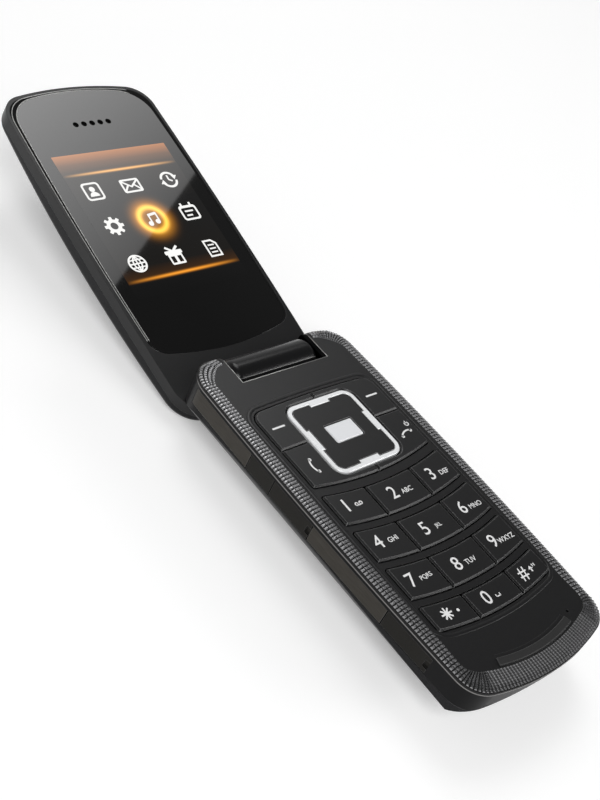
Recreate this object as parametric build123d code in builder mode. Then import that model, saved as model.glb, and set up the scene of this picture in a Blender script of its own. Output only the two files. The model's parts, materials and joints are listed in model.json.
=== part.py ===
"""Clamshell mobile phone, modelled open, with its base lying on its back.

X runs across the phone, Y along the base towards the hinge and Z up out of the keypad.
The origin is the middle of the base's flat back. All sizes are in millimetres.
"""
import os
from math import cos, radians, sin, sqrt

from build123d import *

os.makedirs("parts", exist_ok=True)

# ------------------------------------------------------------------ gaps
joint_gap = 0.05            # between pieces that are fixed together
running_gap = 0.05          # radial, between the turning pieces of the hinge
slip_gap = 0.1              # between pieces that are dropped in with a little play
key_gap = 0.3               # between a key and its opening
barrel_gap = 0.3            # between the hinge barrel's ends and the notch it turns in

# ------------------------------------------------------------------ base casing
base_height = 10.5          # flat back to keypad face
base_half_width = 23.9      # half the width at the waist, where the base is widest
mic_taper = 1.3             # half-width lost at the microphone end
hinge_taper = 0.7           # half-width lost at the hinge end
hinge_crown = 50.2          # Y of the hinge end at mid-width
mouth_length = 16.1         # last row of keys to the microphone end
mic_fall = 3.9              # the microphone end's curve falls this much at the sides
hinge_fall = 2.0            # the same for the hinge end
mic_corner = 7.0
hinge_corner = 8.0
bow_length = 13.5           # the back starts to curve up this far from the microphone end
bow_overshoot = 0.45        # the curve reaches the keypad face this far beyond that end
heel_length = 9.1           # the back starts to rise this far before the hinge axis
heel_setback = 0.7          # the rise ends this far before the hinge axis
belly_radius = 5.0          # rounding of the long lower edges
casing_wall = 1.2
side_wall = 1.9             # the side walls carry the trim strips, so they are thicker
seam_drop = 6.5             # keypad face to the seam between the front and rear housings

# ------------------------------------------------------------------ hinge
hinge_inset = 5.1           # hinge axis to the crown of the hinge end
hinge_depth = 4.7           # keypad face to the hinge axis
open_angle = 167.3          # lid's travel from shut to fully open
knuckle_reach = 4.5         # hinge axis to the end of the base's knuckles
knuckle_corner = 2.8
knuckle_width = 9.8         # each knuckle, from the notch to the base's side
notch_reach = 5.1           # hinge axis to the notch's near wall
barrel_radius = 4.6
barrel_corner = 2.0
barrel_skin = 0.55          # wall left between the cartridge's bore and the barrel's flat
neck_reach = 4.9            # hinge axis to the far side of the barrel's neck
neck_setback = 0.6          # the neck's near side stands this far behind the lid's chin
neck_root = 1.0             # how deep the neck is rooted in the lid
cartridge_radius = 2.3
cartridge_length = 12.0
cam_radius = 1.6
cam_in_knuckle = 4.0
cam_in_cartridge = 1.6
pin_radius = 2.2
pin_bore = 1.4
pin_in_knuckle = 4.0
pin_in_barrel = 5.0

# ------------------------------------------------------------------ keypad
key_stand = 0.5             # keys stand this far out of the keypad face
key_edge = 0.35             # bevel round each key's top
key_margin = 5.3            # keys to the base's side
column_line = 7.25          # mid-width to the lines between the columns
column_gap = 0.5
row_radius = 86.0           # curve of every row of keys
key_length = 8.25
row_spacing = 2.1           # between the keys of two rows
last_key_length = 6.3
key_corner = 0.5
last_key_corner = 3.4
flange_gap = 0.6            # between the flanges of two rows
flange_height = 0.5
key_travel = 0.3
block_setback = 8.5         # notch to the navigation block
block_top_fall = 0.6
block_corner = 3.0
soft_key_border = 2.0       # soft keys' depth above the ring
call_key_border = 2.1       # call keys' depth below the ring
row_gap = 2.65              # navigation block to the first row
nav_half = 10.4             # half the side of the white ring
nav_corner = 3.1
ring_width = 1.15
ring_height = 1.4
ring_tab_length = 6.0
ring_tab_width = 0.8        # how far each tab stands in from the ring
ring_stand = 0.05
ring_edge = 0.2
soft_split = 0.5            # line between the soft keys and the call keys, above the ring's middle
split_gap = 0.25            # between the soft keys and the call keys
plate_thickness = 1.7
ok_width = 8.4
ok_length = 5.1
ok_corner = 0.4
ok_edge = 0.25
ok_gap = 0.2
rocker_margin = 2.4         # rocker to the ring's outer edge
rocker_thickness = 0.35
rocker_corner = 3.0
rocker_gap = 0.25           # rocker to plate, so that the plate can tilt

# ------------------------------------------------------------------ trim of the base
band_width = 2.65           # knurled grip band along the sides
band_mic_width = 4.4        # the same at the microphone end
band_depth = 1.2
band_drop = 0.4             # slope on the band's outer edge, measured down the side
band_slope = 1.2            # the same, measured across the top
notch_cheek = 0.6           # plain housing between the notch and the band
strip_drop = 2.0            # keypad face to the strips' upper edge
strip_height = 4.2
strip_thickness = 0.85
strip_gap = 0.25
strip_setback = 1.7         # the strips end this far before the hinge axis
upper_strip_length = 20.6
side_key_length = 8.1
port_cover_length = 13.1
lower_strip_length = 23.5
headset_cover_length = 13.1
pull_length = 1.2           # fingernail notch at the end of each cover
pull_height = 2.0
pull_depth = 0.4
rest_margin = 6.6           # rest to the keypad's side edge
rest_width = 2.5
rest_slant = 0.8
rest_rise = 1.5             # the rest's ends stand this much further from the microphone end
rest_depth = 0.5
rest_stand = 0.3
rest_edge = 0.2
rest_gap = 0.3              # grip band to rest

# ------------------------------------------------------------------ inside the base
board_depth = 4.05          # keypad face to the board's underside
board_thickness = 0.8
board_inset = 2.4
board_mic_gap = 5.0         # board to the microphone end
board_hinge_gap = 0.3       # board to the wall at the hinge end
dome_film = 0.1
dome_radius = 2.0
dome_height = 0.2
dome_slope = 45
dot_sides = 8               # sides of the small repeated domes and nubs
mat_depth = 2.7             # keypad face to the mat's underside
mat_thickness = 0.6
mat_margin = 3.7            # mat to the base's side
mat_skirt = 2.0             # mat and dome sheet beyond the keys
nub_radius = 0.9
screw_margin = 7.4          # screws to the base's side
hinge_screw_setback = 4.1   # screws to the notch
mic_screw_setback = 11.3    # screws to the microphone end
boss_radius = 1.9
boss_rise = 0.8             # battery cover to the bosses at the microphone end
screw_radius = 0.7
screw_head_radius = 1.4
screw_head = 0.8
screw_tip_gap = 0.5         # screw tip to the keypad wall
bore_gap = 0.3              # screw tip to the bottom of its bore
battery_mic_setback = 14.0  # battery to the microphone end
battery_hinge_setback = 28.0  # battery to the notch
battery_margin = 8.4        # battery to the base's side
battery_corner = 1.0
bay_gap = 0.25
bay_wall = 0.8
bay_roof = 0.5
bay_board_gap = 0.15
rib_width = 1.0
rib_margin = 2.7            # the ribs end inside the side walls, this far from the base's side
rib_spacing = 19.0
rib_count = 3
rib_setback = 0.2           # ribs to the seam
contacts_half = 5.0
contacts_length = 2.4
contacts_rise = 0.85        # battery's underside to the contact block's
cover_margin = 5.7          # battery cover to the base's side
cover_setback = 10.0        # battery cover to the notch
cover_drop = 4.5            # keypad face to the top of the cover, which wraps up the microphone end
wrap_depth = 6.5            # room for it there, from the microphone end
cover_gap = 0.15
groove_setback = 8.0        # thumb grooves to the battery cover's edge
groove_length = 12.0
groove_width = 0.6
groove_depth = 0.25
groove_pitch = 1.4
groove_count = 5
port_width = 8.0
port_height = 2.7
port_corner = 0.6
port_depth = 5.2
port_wall = 0.45            # edge of the port's opening to the inside of its shell
port_drop = 0.6             # board's underside to the port's middle
tongue_margin = 1.3
tongue_height = 0.6
jack_radius = 1.3
jack_wall = 0.3
jack_body = 5.0
jack_depth = 4.3
jack_setback = 0.6          # the jack stands this much further in than the port
wall_clearance = 0.15       # port to the side wall
socket_floor = 0.6          # what is left behind the holes of the port and the jack
stem_width = 4.0            # stem of the side key, which works the switch
stem_height = 2.0
stem_reach = 2.3            # base's side to the stem's end
switch_width = 3.6
switch_depth = 2.7
switch_height = 1.75
mic_radius = 1.75
mic_hole_radius = 0.4
mic_edge = 0.3
mic_gap = 0.24              # microphone to the screw boss beside it
can_margin = 6.9            # middle of the shield can to the base's side
can_width = 5.4
can_length = 15.0
can_height = 1.6
can_corner = 0.5
sim_margin = 2.0            # SIM holder to the battery's side
sim_length = 14.4
sim_height = 1.5
sim_frame = 0.9
sim_top = 0.6
sim_gap = 3.2               # battery to the SIM holder
antenna_margin = 3.5        # antenna to the battery's side
antenna_length = 5.2
antenna_height = 2.6
antenna_corner = 1.0
antenna_gap = 0.75
speaker_length = 6.4
speaker_height = 3.0
speaker_corner = 1.5
speaker_gasket = 0.25
speaker_setback = 3.2       # loudspeaker to the notch
slot_length = 4.0
slot_width = 0.8
slot_pitch = 2.0
slot_count = 5
motor_radius = 3.3
motor_height = 2.7
motor_gap = 0.4             # motor to loudspeaker
motor_boss_gap = 0.8

# ------------------------------------------------------------------ lid
shut_gap = 0.4              # key tops to the lid's inner face when it is shut
lid_margin = 0.9            # the lid is this much narrower than the base, each side
lid_taper = 0.8             # half-width lost at the lid's ends
lid_chin = 4.4              # lid beyond the hinge axis, towards the base
brow_length = 12.1          # earpiece to the lid's tip
lid_tip_fall = 2.6
lid_chin_fall = 1.4
lid_tip_corner = 7.0
lid_chin_corner = 8.0
lid_wall = 1.2
lid_seam = 3.0              # inner face to the seam between the lid's housings
lid_thick = 7.0             # thickest place, at lid_thick_at
lid_thick_at = 42.0
lid_thick_chin = 5.0
lid_thick_tip = 3.9
lid_back_reach = 3.0        # the last two thicknesses are measured this far past the ends
lid_edge = 1.6              # rounding of the lid's outer edges
lens_rim = 1.0              # frame left showing round the lens
lens_thickness = 0.9
lens_start = 10.9           # lowest point of the lens's curved lower edge
lens_fall = 3.4
lens_corner = 5.0
lens_shelf = 0.85           # housing behind the lens
screen_width = 34.9
screen_length = 43.6
screen_start = 28.3
screen_gap = 0.4            # picture to the gasket
gasket_thickness = 0.2
module_border = 1.6
module_foot = 5.5           # driver end of the display module, below the picture
module_thickness = 2.2
lid_board_margin = 2.0      # lid board to the display module's sides
lid_board_near = 1.5
lid_board_far = 7.5
lid_board_thickness = 0.7
lid_board_gap = 0.2
ear_setback = 9.0           # picture to the row of earpiece holes
ear_hole_radius = 0.75
ear_hole_pitch = 2.5
ear_holes = 5
mesh_reach = 0.75           # mesh beyond the earpiece holes
mesh_rest = 0.3             # the mesh rests on the housing by this much
mesh_thickness = 0.15
earpiece_half_length = 3.3
earpiece_height = 1.75
earpiece_corner = 1.5
magnet_setback = 6.7        # earpiece to magnet
magnet_half_width = 3.0
magnet_half_length = 1.3
magnet_height = 1.1
camera_setback = 4.3        # camera to the display module
camera_radius = 3.2
camera_sink = 1.1           # seat of the camera's window, below the lid's thickest place
camera_rim = 1.0
camera_nose = 0.75          # seat to the camera's body
camera_half = 3.4
camera_corner = 0.5
window_thickness = 0.55

# ------------------------------------------------------------------ worked out from the sizes above
beyond = 200.0
everywhere = (-beyond, beyond)
left_half, right_half = (-beyond, 0), (0, beyond)

hinge_y = hinge_crown - hinge_inset
hinge_z = base_height - hinge_depth
notch_y = hinge_y - notch_reach
notch_half = base_half_width - hinge_taper - knuckle_width
barrel_half = notch_half - barrel_gap
barrel_flat = cartridge_radius + barrel_skin
cavity_end = notch_y - casing_wall
seam_height = base_height - seam_drop
cover_top = base_height - cover_drop

key_top = base_height + key_stand
key_low = base_height - casing_wall - slip_gap - flange_height
flange_reach = (row_spacing - flange_gap) / 2
keys_half = base_half_width - key_margin
block_top = notch_y - block_setback
nav_y = block_top - soft_key_border - nav_half
block_bottom = nav_y - nav_half - call_key_border
split_y = nav_y + soft_split
key_pitch = key_length + row_spacing
row_tops = [block_bottom - row_gap - row * key_pitch for row in range(4)]
row_bottoms = [top - key_length for top in row_tops[:3]] + [row_tops[3] - last_key_length]
keys_end = row_bottoms[3]
mic_end = keys_end - mouth_length
columns = [
    (-keys_half, -column_line - column_gap / 2),
    (-column_line + column_gap / 2, column_line - column_gap / 2),
    (column_line + column_gap / 2, keys_half),
]
key_names = ["key_1", "key_2", "key_3", "key_4", "key_5", "key_6",
             "key_7", "key_8", "key_9", "key_star", "key_0", "key_hash"]
plate_low = key_top - plate_thickness
ring_low = key_top - ring_height
rocker_half = nav_half - rocker_margin
rocker_low = plate_low - rocker_gap - rocker_thickness

board_low = base_height - board_depth
board_high = board_low + board_thickness
below_board = board_low - joint_gap
film_high = board_high + dome_film
dome_top = film_high + dome_height
mat_low = base_height - mat_depth
mat_half = base_half_width - mat_margin
side_dome_x = (keys_half + nav_half) / 2
nav_dome_at = rocker_half - nub_radius
dome_spots = [((a + b) / 2, (row_tops[r] + row_bottoms[r]) / 2) for r in range(4) for a, b in columns]
dome_spots += [(side_dome_x, (split_y + end) / 2) for end in (block_top, block_bottom)]
dome_spots += [(-side_dome_x, (split_y + end) / 2) for end in (block_top, block_bottom)]
dome_spots += [(0, nav_y), (nav_dome_at, nav_y), (-nav_dome_at, nav_y)]
dome_spots += [(0, nav_y + nav_dome_at), (0, nav_y - nav_dome_at)]

strip_high = base_height - strip_drop
strip_low = strip_high - strip_height
strip_middle = (strip_low + strip_high) / 2
strip_end = hinge_y - strip_setback
side_key_start = strip_end - upper_strip_length
port_cover_start = side_key_start - side_key_length
lower_strip_start = port_cover_start - port_cover_length
headset_cover_start = lower_strip_start - lower_strip_length
trim_end = headset_cover_start - headset_cover_length
side_key_y = side_key_start - side_key_length / 2
port_y = port_cover_start - port_cover_length / 2
jack_y = headset_cover_start - headset_cover_length / 2
port_z = board_low - port_drop
port_front = base_half_width - side_wall - wall_clearance
jack_front = port_front - jack_setback
stem_end = base_half_width - stem_reach
switch_front = stem_end - key_travel - joint_gap
rest_half = keys_half - rest_margin
rest_y = mic_end + band_mic_width + rest_gap

bay_low = casing_wall + joint_gap
battery_low = casing_wall + cover_gap
battery_high = board_low - bay_board_gap - bay_roof - bay_gap
battery_end = mic_end + battery_mic_setback
battery_start = notch_y - battery_hinge_setback
battery_half = base_half_width - battery_margin
bay_half = battery_half + bay_gap
bay_outer = bay_half + bay_wall
bay_end = battery_end - bay_gap - bay_wall
bay_start = battery_start + bay_gap + bay_wall
cover_half = base_half_width - cover_margin
cover_end = notch_y - cover_setback
rib_far = base_half_width - rib_margin
screw_x = base_half_width - screw_margin
hinge_screw_y = notch_y - hinge_screw_setback
mic_screw_y = mic_end + mic_screw_setback
hinge_screws = [(screw_x, hinge_screw_y), (-screw_x, hinge_screw_y)]
mic_screws = [(screw_x, mic_screw_y), (-screw_x, mic_screw_y)]
boss_low = casing_wall + boss_rise
boss_high = base_height - casing_wall
screw_tip = boss_high - screw_tip_gap
mic_step = (boss_radius + mic_radius + mic_gap) * cos(radians(45))
mic_spot = (screw_x - mic_step, mic_screw_y - mic_step)
sim_y = battery_start + sim_gap + sim_length / 2
sim_half = battery_half - sim_margin
antenna_y = bay_end - antenna_gap - antenna_length / 2
speaker_y = notch_y - speaker_setback - speaker_length / 2
speaker_low = casing_wall + speaker_gasket
speaker_half = screw_x - boss_radius - motor_boss_gap - 2 * motor_radius - motor_gap
motor_x = speaker_half + motor_gap + motor_radius

face_offset = key_top + shut_gap - hinge_z
lid_half = base_half_width - lid_margin
ear_at = screen_start + screen_length + ear_setback
lid_tip = ear_at + brow_length
lens_back = -face_offset - lens_thickness
shelf_low = lens_back - joint_gap - lens_shelf
under_shelf = shelf_low - joint_gap
seam_at = -face_offset - lid_seam
module_half = screen_width / 2 + module_border
module_near = screen_start - module_foot
module_far = screen_start + screen_length + module_border
module_top = lens_back - gasket_thickness
module_low = module_top - module_thickness
mesh_half = (ear_holes - 1) / 2 * ear_hole_pitch + ear_hole_radius + mesh_reach
mesh_half_length = ear_hole_radius + mesh_reach
mesh_corner = mesh_half_length - slip_gap
mesh_low = lens_back - joint_gap - mesh_thickness - joint_gap
magnet_at = ear_at + magnet_setback
camera_at = module_near - camera_setback
camera_back = -face_offset - lid_thick + camera_sink

hinge_point = Vector(0, hinge_y, hinge_z)
lid_tilt = radians(180 - open_angle)
lid_along = Vector(0, cos(lid_tilt), sin(lid_tilt))
lid_out = Vector(0, -sin(lid_tilt), cos(lid_tilt))
lid_plane = Plane(hinge_point, x_dir=(1, 0, 0), z_dir=lid_out)
lid_side = Plane(hinge_point, x_dir=lid_along, z_dir=(1, 0, 0))
hinge_plane = Plane(hinge_point, x_dir=(0, 1, 0), z_dir=(1, 0, 0))


def save(piece, name):
    """Label a finished piece and write its STEP file."""
    piece.label = name
    export_step(piece, f"parts/{name}.step")


def slab(x=everywhere, y=everywhere, z=everywhere):
    """A box given by its limits. It runs right through the phone on an axis that is left out."""
    box = Box(x[1] - x[0], y[1] - y[0], z[1] - z[0], mode=Mode.PRIVATE)
    return Pos((x[0] + x[1]) / 2, (y[0] + y[1]) / 2, (z[0] + z[1]) / 2) * box


def lid_slab(half_width=beyond, along=everywhere, out=everywhere, corner=0.0):
    """The same in the lid's own frame: along the lid from the hinge, and out of its inner face."""
    with BuildPart(mode=Mode.PRIVATE) as plate:
        with BuildSketch(lid_plane.offset(out[0])) as area:
            with Locations((0, (along[0] + along[1]) / 2)):
                Rectangle(2 * half_width, along[1] - along[0])
            if corner:
                fillet(area.vertices(), radius=corner)
        extrude(amount=out[1] - out[0])
    return plate.part


def block(width, length, corner, at, z):
    """An upright block with round corners, from one height to another."""
    with BuildPart(mode=Mode.PRIVATE) as solid:
        with BuildSketch(Plane.XY.offset(z[0])):
            with Locations(at):
                RectangleRounded(width, length, corner)
        extrude(amount=z[1] - z[0])
    return solid.part


def posts(spots, radius, z):
    """Round posts at several places, from one height to another."""
    with BuildPart(mode=Mode.PRIVATE) as group:
        with BuildSketch(Plane.XY.offset(z[0])):
            with Locations(spots):
                Circle(radius)
        extrude(amount=z[1] - z[0])
    return group.part


def turned(x, radius):
    """A cylinder about the hinge axis."""
    with BuildPart(mode=Mode.PRIVATE) as cylinder:
        with BuildSketch(hinge_plane.offset(x[0])):
            Circle(radius)
        extrude(amount=x[1] - x[0])
    return cylinder.part


def oval_outline(half, end_halves, ends, falls, corners):
    """A plan with four curved sides and four round corners. Its pairs give the near end first."""
    near_side, far_side = ends[0] + falls[0], ends[1] - falls[1]
    middle = (near_side + far_side) / 2
    with BuildSketch(mode=Mode.PRIVATE) as outline:
        with BuildLine():
            right = ThreePointArc((end_halves[0], near_side), (half, middle), (end_halves[1], far_side))
            far_end = ThreePointArc(right @ 1, (0, ends[1]), (-end_halves[1], far_side))
            left = ThreePointArc(far_end @ 1, (-half, middle), (-end_halves[0], near_side))
            ThreePointArc(left @ 1, (0, ends[0]), right @ 0)
        make_face()
        fillet(outline.vertices().group_by(Axis.Y)[-1], radius=corners[1])
        fillet(outline.vertices().group_by(Axis.Y)[0], radius=corners[0])
    return outline.sketch


def base_outline(inset=0.0, mic_inset=None):
    """Plan of the base, or of what lies inside it at a given distance from its edge."""
    half = base_half_width - inset
    end_halves = (half - mic_taper, half - hinge_taper)
    ends = (mic_end + (inset if mic_inset is None else mic_inset), hinge_crown - inset)
    corners = (mic_corner - inset, hinge_corner - inset)
    return oval_outline(half, end_halves, ends, (mic_fall, hinge_fall), corners)


def lid_outline(inset=0.0):
    """Face view of the lid, measured along it from the hinge axis."""
    half = lid_half - inset
    end_halves = (half - lid_taper, half - lid_taper)
    ends = (inset - lid_chin, lid_tip - inset)
    corners = (lid_chin_corner - inset, lid_tip_corner - inset)
    return oval_outline(half, end_halves, ends, (lid_chin_fall, lid_tip_fall), corners)


def side_ring(insets, y, z, x=everywhere):
    """What lies between two depths under the base's edge, within limits in X, Y and Z."""
    with BuildPart(mode=Mode.PRIVATE) as ring:
        with BuildSketch(Plane.XY.offset(z[0])):
            add(base_outline(insets[0]))
            add(base_outline(insets[1]), mode=Mode.SUBTRACT)
        extrude(amount=z[1] - z[0])
        add(slab(x=x, y=y), mode=Mode.INTERSECT)
    return ring.part


def base_body(inset=0.0):
    """The base as one block, or the space inside it at a given depth below its skin."""
    reach = knuckle_reach - inset
    high = base_height - inset
    round_off = knuckle_corner - inset
    knuckle_end = hinge_y + reach
    with BuildPart(mode=Mode.PRIVATE) as body:
        with BuildSketch(Plane.XY):
            add(base_outline(inset))
        extrude(amount=base_height)
        with BuildSketch(Plane.YZ):
            with BuildLine():
                back = Line((mic_end + bow_length, inset), (hinge_y - heel_length, inset))
                rise = Line(back @ 1, (hinge_y - heel_setback, hinge_z - reach + joint_gap))
                middle = (hinge_y + reach * cos(radians(45)), hinge_z - reach * sin(radians(45)))
                knuckle = ThreePointArc(rise @ 1, middle, (knuckle_end, hinge_z))
                end = Line(knuckle @ 1, (knuckle_end, high - round_off))
                corner = TangentArc(end @ 1, (knuckle_end - round_off, high), tangent=(0, 1))
                face = Line(corner @ 1, (mic_end - bow_overshoot + inset, high))
                TangentArc(back @ 0, face @ 1, tangent=(-1, 0))
            make_face()
        extrude(amount=beyond, both=True, mode=Mode.INTERSECT)
        with BuildSketch(Plane.XZ) as section:
            with Locations((0, base_height + inset)):
                Rectangle(2 * (base_half_width + joint_gap - inset), 2 * base_height)
            fillet(section.vertices().group_by(Axis.Y)[0], radius=belly_radius - inset)
        extrude(amount=beyond, both=True, mode=Mode.INTERSECT)
    return body.part


def lid_body(inset=0.0):
    """The lid as one block, or the space inside it at a given depth below its skin."""
    near, far = -lid_chin - lid_back_reach, lid_tip + lid_back_reach
    face = -face_offset - inset
    skin = -face_offset + inset
    with BuildPart(mode=Mode.PRIVATE) as body:
        with BuildSketch(lid_plane.offset(-face_offset - 2 * lid_thick)):
            add(lid_outline(inset))
        extrude(amount=2 * lid_thick)
        with BuildSketch(lid_side):
            with BuildLine():
                back = ThreePointArc(
                    (near, skin - lid_thick_chin),
                    (lid_thick_at, skin - lid_thick),
                    (far, skin - lid_thick_tip),
                )
                Polyline(back @ 1, (far, face), (near, face), back @ 0)
            make_face()
        extrude(amount=beyond, both=True, mode=Mode.INTERSECT)
        if not inset:
            back_face = body.faces().sort_by(Axis(hinge_point, lid_out))[0]
            fillet(back_face.edges(), radius=lid_edge)
    return body.part


def row_y(y_mid, x):
    """Y of a row's curved edge at x, for an edge that passes y_mid at mid-width."""
    return y_mid + row_radius - sqrt(row_radius**2 - x**2)


def row_outline(x, y, corner, low_corners):
    """Area between two curved row edges, with round corners."""
    x_mid = (x[0] + x[1]) / 2
    with BuildSketch(mode=Mode.PRIVATE) as outline:
        with BuildLine():
            low = ThreePointArc(*[(at, row_y(y[0], at)) for at in (x[0], x_mid, x[1])])
            right = Line(low @ 1, (x[1], row_y(y[1], x[1])))
            high = ThreePointArc(*[(at, row_y(y[1], at)) for at in (x[1], x_mid, x[0])])
            Line(high @ 1, low @ 0)
        make_face()
        vertices = outline.vertices().sort_by(Axis.X)
        left_pair, right_pair = vertices[:2].sort_by(Axis.Y), vertices[2:].sort_by(Axis.Y)
        fillet([left_pair[1], right_pair[1]], radius=corner)
        fillet([left_pair[0]], radius=low_corners[0])
        fillet([right_pair[0]], radius=low_corners[1])
    return outline.sketch


def block_outline(grow=0.0):
    """Area of the navigation block, with the soft keys and the call keys."""
    half, high, low = keys_half + grow, block_top + grow, block_bottom - grow
    with BuildSketch(mode=Mode.PRIVATE) as outline:
        with BuildLine():
            top = ThreePointArc((half, high - block_top_fall), (0, high), (-half, high - block_top_fall))
            left = Line(top @ 1, (-half, row_y(low, half)))
            bottom = ThreePointArc(left @ 1, (0, low), (half, row_y(low, half)))
            Line(bottom @ 1, top @ 0)
        make_face()
        fillet(outline.vertices().group_by(Axis.Y)[-1], radius=block_corner + grow)
        fillet(outline.vertices().group_by(Axis.Y)[0], radius=key_corner + grow)
    return outline.sketch


def nav_area(width, length, corner):
    """A rounded rectangle about the middle of the navigation key."""
    with BuildSketch(mode=Mode.PRIVATE) as area:
        with Locations((0, nav_y)):
            RectangleRounded(width, length, corner)
    return area.sketch


def ring_area(grow=0.0):
    """Plan of the white ring with its four inward tabs."""
    outer = nav_half + grow
    inner = nav_half - ring_width - grow
    tab_at = nav_half - ring_width
    tab_width = 2 * (ring_tab_width + grow)
    tab_length = ring_tab_length + 2 * grow
    with BuildSketch(mode=Mode.PRIVATE) as area:
        add(nav_area(2 * outer, 2 * outer, nav_corner + grow))
        add(nav_area(2 * inner, 2 * inner, nav_corner - ring_width - grow), mode=Mode.SUBTRACT)
        with Locations((tab_at, nav_y), (-tab_at, nav_y)):
            Rectangle(tab_width, tab_length)
        with Locations((0, nav_y + tab_at), (0, nav_y - tab_at)):
            Rectangle(tab_length, tab_width)
    return area.sketch


def ok_area(grow=0.0):
    """Plan of the key in the middle, or of the hole for it."""
    return nav_area(ok_width + 2 * grow, ok_length + 2 * grow, ok_corner + grow)


def lens_outline(grow=0.0):
    """The lens: the lid's outline, less a rim, above a curved lower edge."""
    low_mid, low_side = lens_start - grow, lens_start + lens_fall - grow
    with BuildSketch(mode=Mode.PRIVATE) as outline:
        add(lid_outline(lens_rim - grow))
        with BuildSketch(mode=Mode.INTERSECT):
            with BuildLine():
                low = ThreePointArc((-lid_half, low_side), (0, low_mid), (lid_half, low_side))
                Polyline(low @ 1, (lid_half, beyond), (-lid_half, beyond), low @ 0)
            make_face()
        fillet(outline.vertices().group_by(Axis.Y)[0], radius=lens_corner + grow)
    return outline.sketch


# ------------------------------------------------------------------ grip band
with BuildPart() as band_block:
    with BuildSketch(Plane.XY.offset(base_height - band_depth)):
        add(base_outline())
        add(base_outline(band_width, band_mic_width), mode=Mode.SUBTRACT)
    extrude(amount=band_depth)
    cheek_half = notch_half + notch_cheek
    add(slab(x=(-cheek_half, cheek_half), y=(notch_y, beyond)), mode=Mode.SUBTRACT)

base_block = base_body()

with BuildPart() as grip_band:
    add(band_block.part)
    add(base_block, mode=Mode.INTERSECT)
    band_top = grip_band.faces().sort_by(Axis.Z)[-1]
    slope_start = base_half_width - band_slope
    outer_edges = band_top.edges().filter_by(lambda edge: abs(edge.center().X) > slope_start)
    chamfer(outer_edges, length=band_slope, length2=band_drop, reference=band_top)
save(grip_band.part, "grip_band")

# ------------------------------------------------------------------ side trim


def strip(name, x, y_low, y_high):
    """One length of the trim strip, with a stem if it is the side key and a notch if it is a cover."""
    with BuildPart() as piece:
        add(side_ring((0, strip_thickness), y=(y_low, y_high), z=(strip_low, strip_high), x=x))
        if name == "side_key":
            add(slab(
                x=(strip_thickness / 2 - base_half_width, -stem_end),
                y=(side_key_y - stem_width / 2, side_key_y + stem_width / 2),
                z=(strip_middle - stem_height / 2, strip_middle + stem_height / 2),
            ))
        if name.endswith("cover"):
            notch_z = (strip_middle - pull_height / 2, strip_middle + pull_height / 2)
            add(side_ring((0, pull_depth), y=(y_low, y_low + pull_length), z=notch_z), mode=Mode.SUBTRACT)
    save(piece.part, name)


half_gap = strip_gap / 2
strip("left_strip_upper", left_half, side_key_start + half_gap, strip_end)
strip("side_key", left_half, port_cover_start + half_gap, side_key_start - half_gap)
strip("port_cover", left_half, lower_strip_start + half_gap, port_cover_start - half_gap)
strip("left_strip_lower", left_half, headset_cover_start + half_gap, lower_strip_start - half_gap)
strip("headset_cover", left_half, trim_end, headset_cover_start - half_gap)
strip("right_strip", right_half, trim_end, strip_end)

# ------------------------------------------------------------------ front housing
with BuildPart() as cavity:
    add(base_body(casing_wall))
    with BuildSketch(Plane.XY):
        add(base_outline(side_wall))
    extrude(amount=base_height, mode=Mode.INTERSECT)
    add(slab(y=(-beyond, cavity_end)), mode=Mode.INTERSECT)

with BuildPart() as rest_block:
    with BuildSketch(Plane.XY.offset(base_height - rest_depth)):
        with BuildLine():
            end_y = rest_y + rest_rise
            far_half = rest_half - rest_slant
            near = ThreePointArc((-rest_half, end_y), (0, rest_y), (rest_half, end_y))
            slant = Line(near @ 1, (far_half, end_y + rest_width))
            far = ThreePointArc(slant @ 1, (0, rest_y + rest_width), (-far_half, end_y + rest_width))
            Line(far @ 1, near @ 0)
        make_face()
    extrude(amount=rest_depth + rest_stand)

with BuildPart() as rest_strip:
    add(rest_block.part)
    chamfer(rest_strip.edges().group_by(Axis.Z)[-1], length=rest_edge)
save(rest_strip.part, "rest_strip")

screw_spots = hinge_screws + mic_screws
trim_z = (strip_low - joint_gap, strip_high + joint_gap)
cover_zone = slab(x=(-cover_half, cover_half), y=(-beyond, cover_end), z=(-beyond, cover_top))

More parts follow.
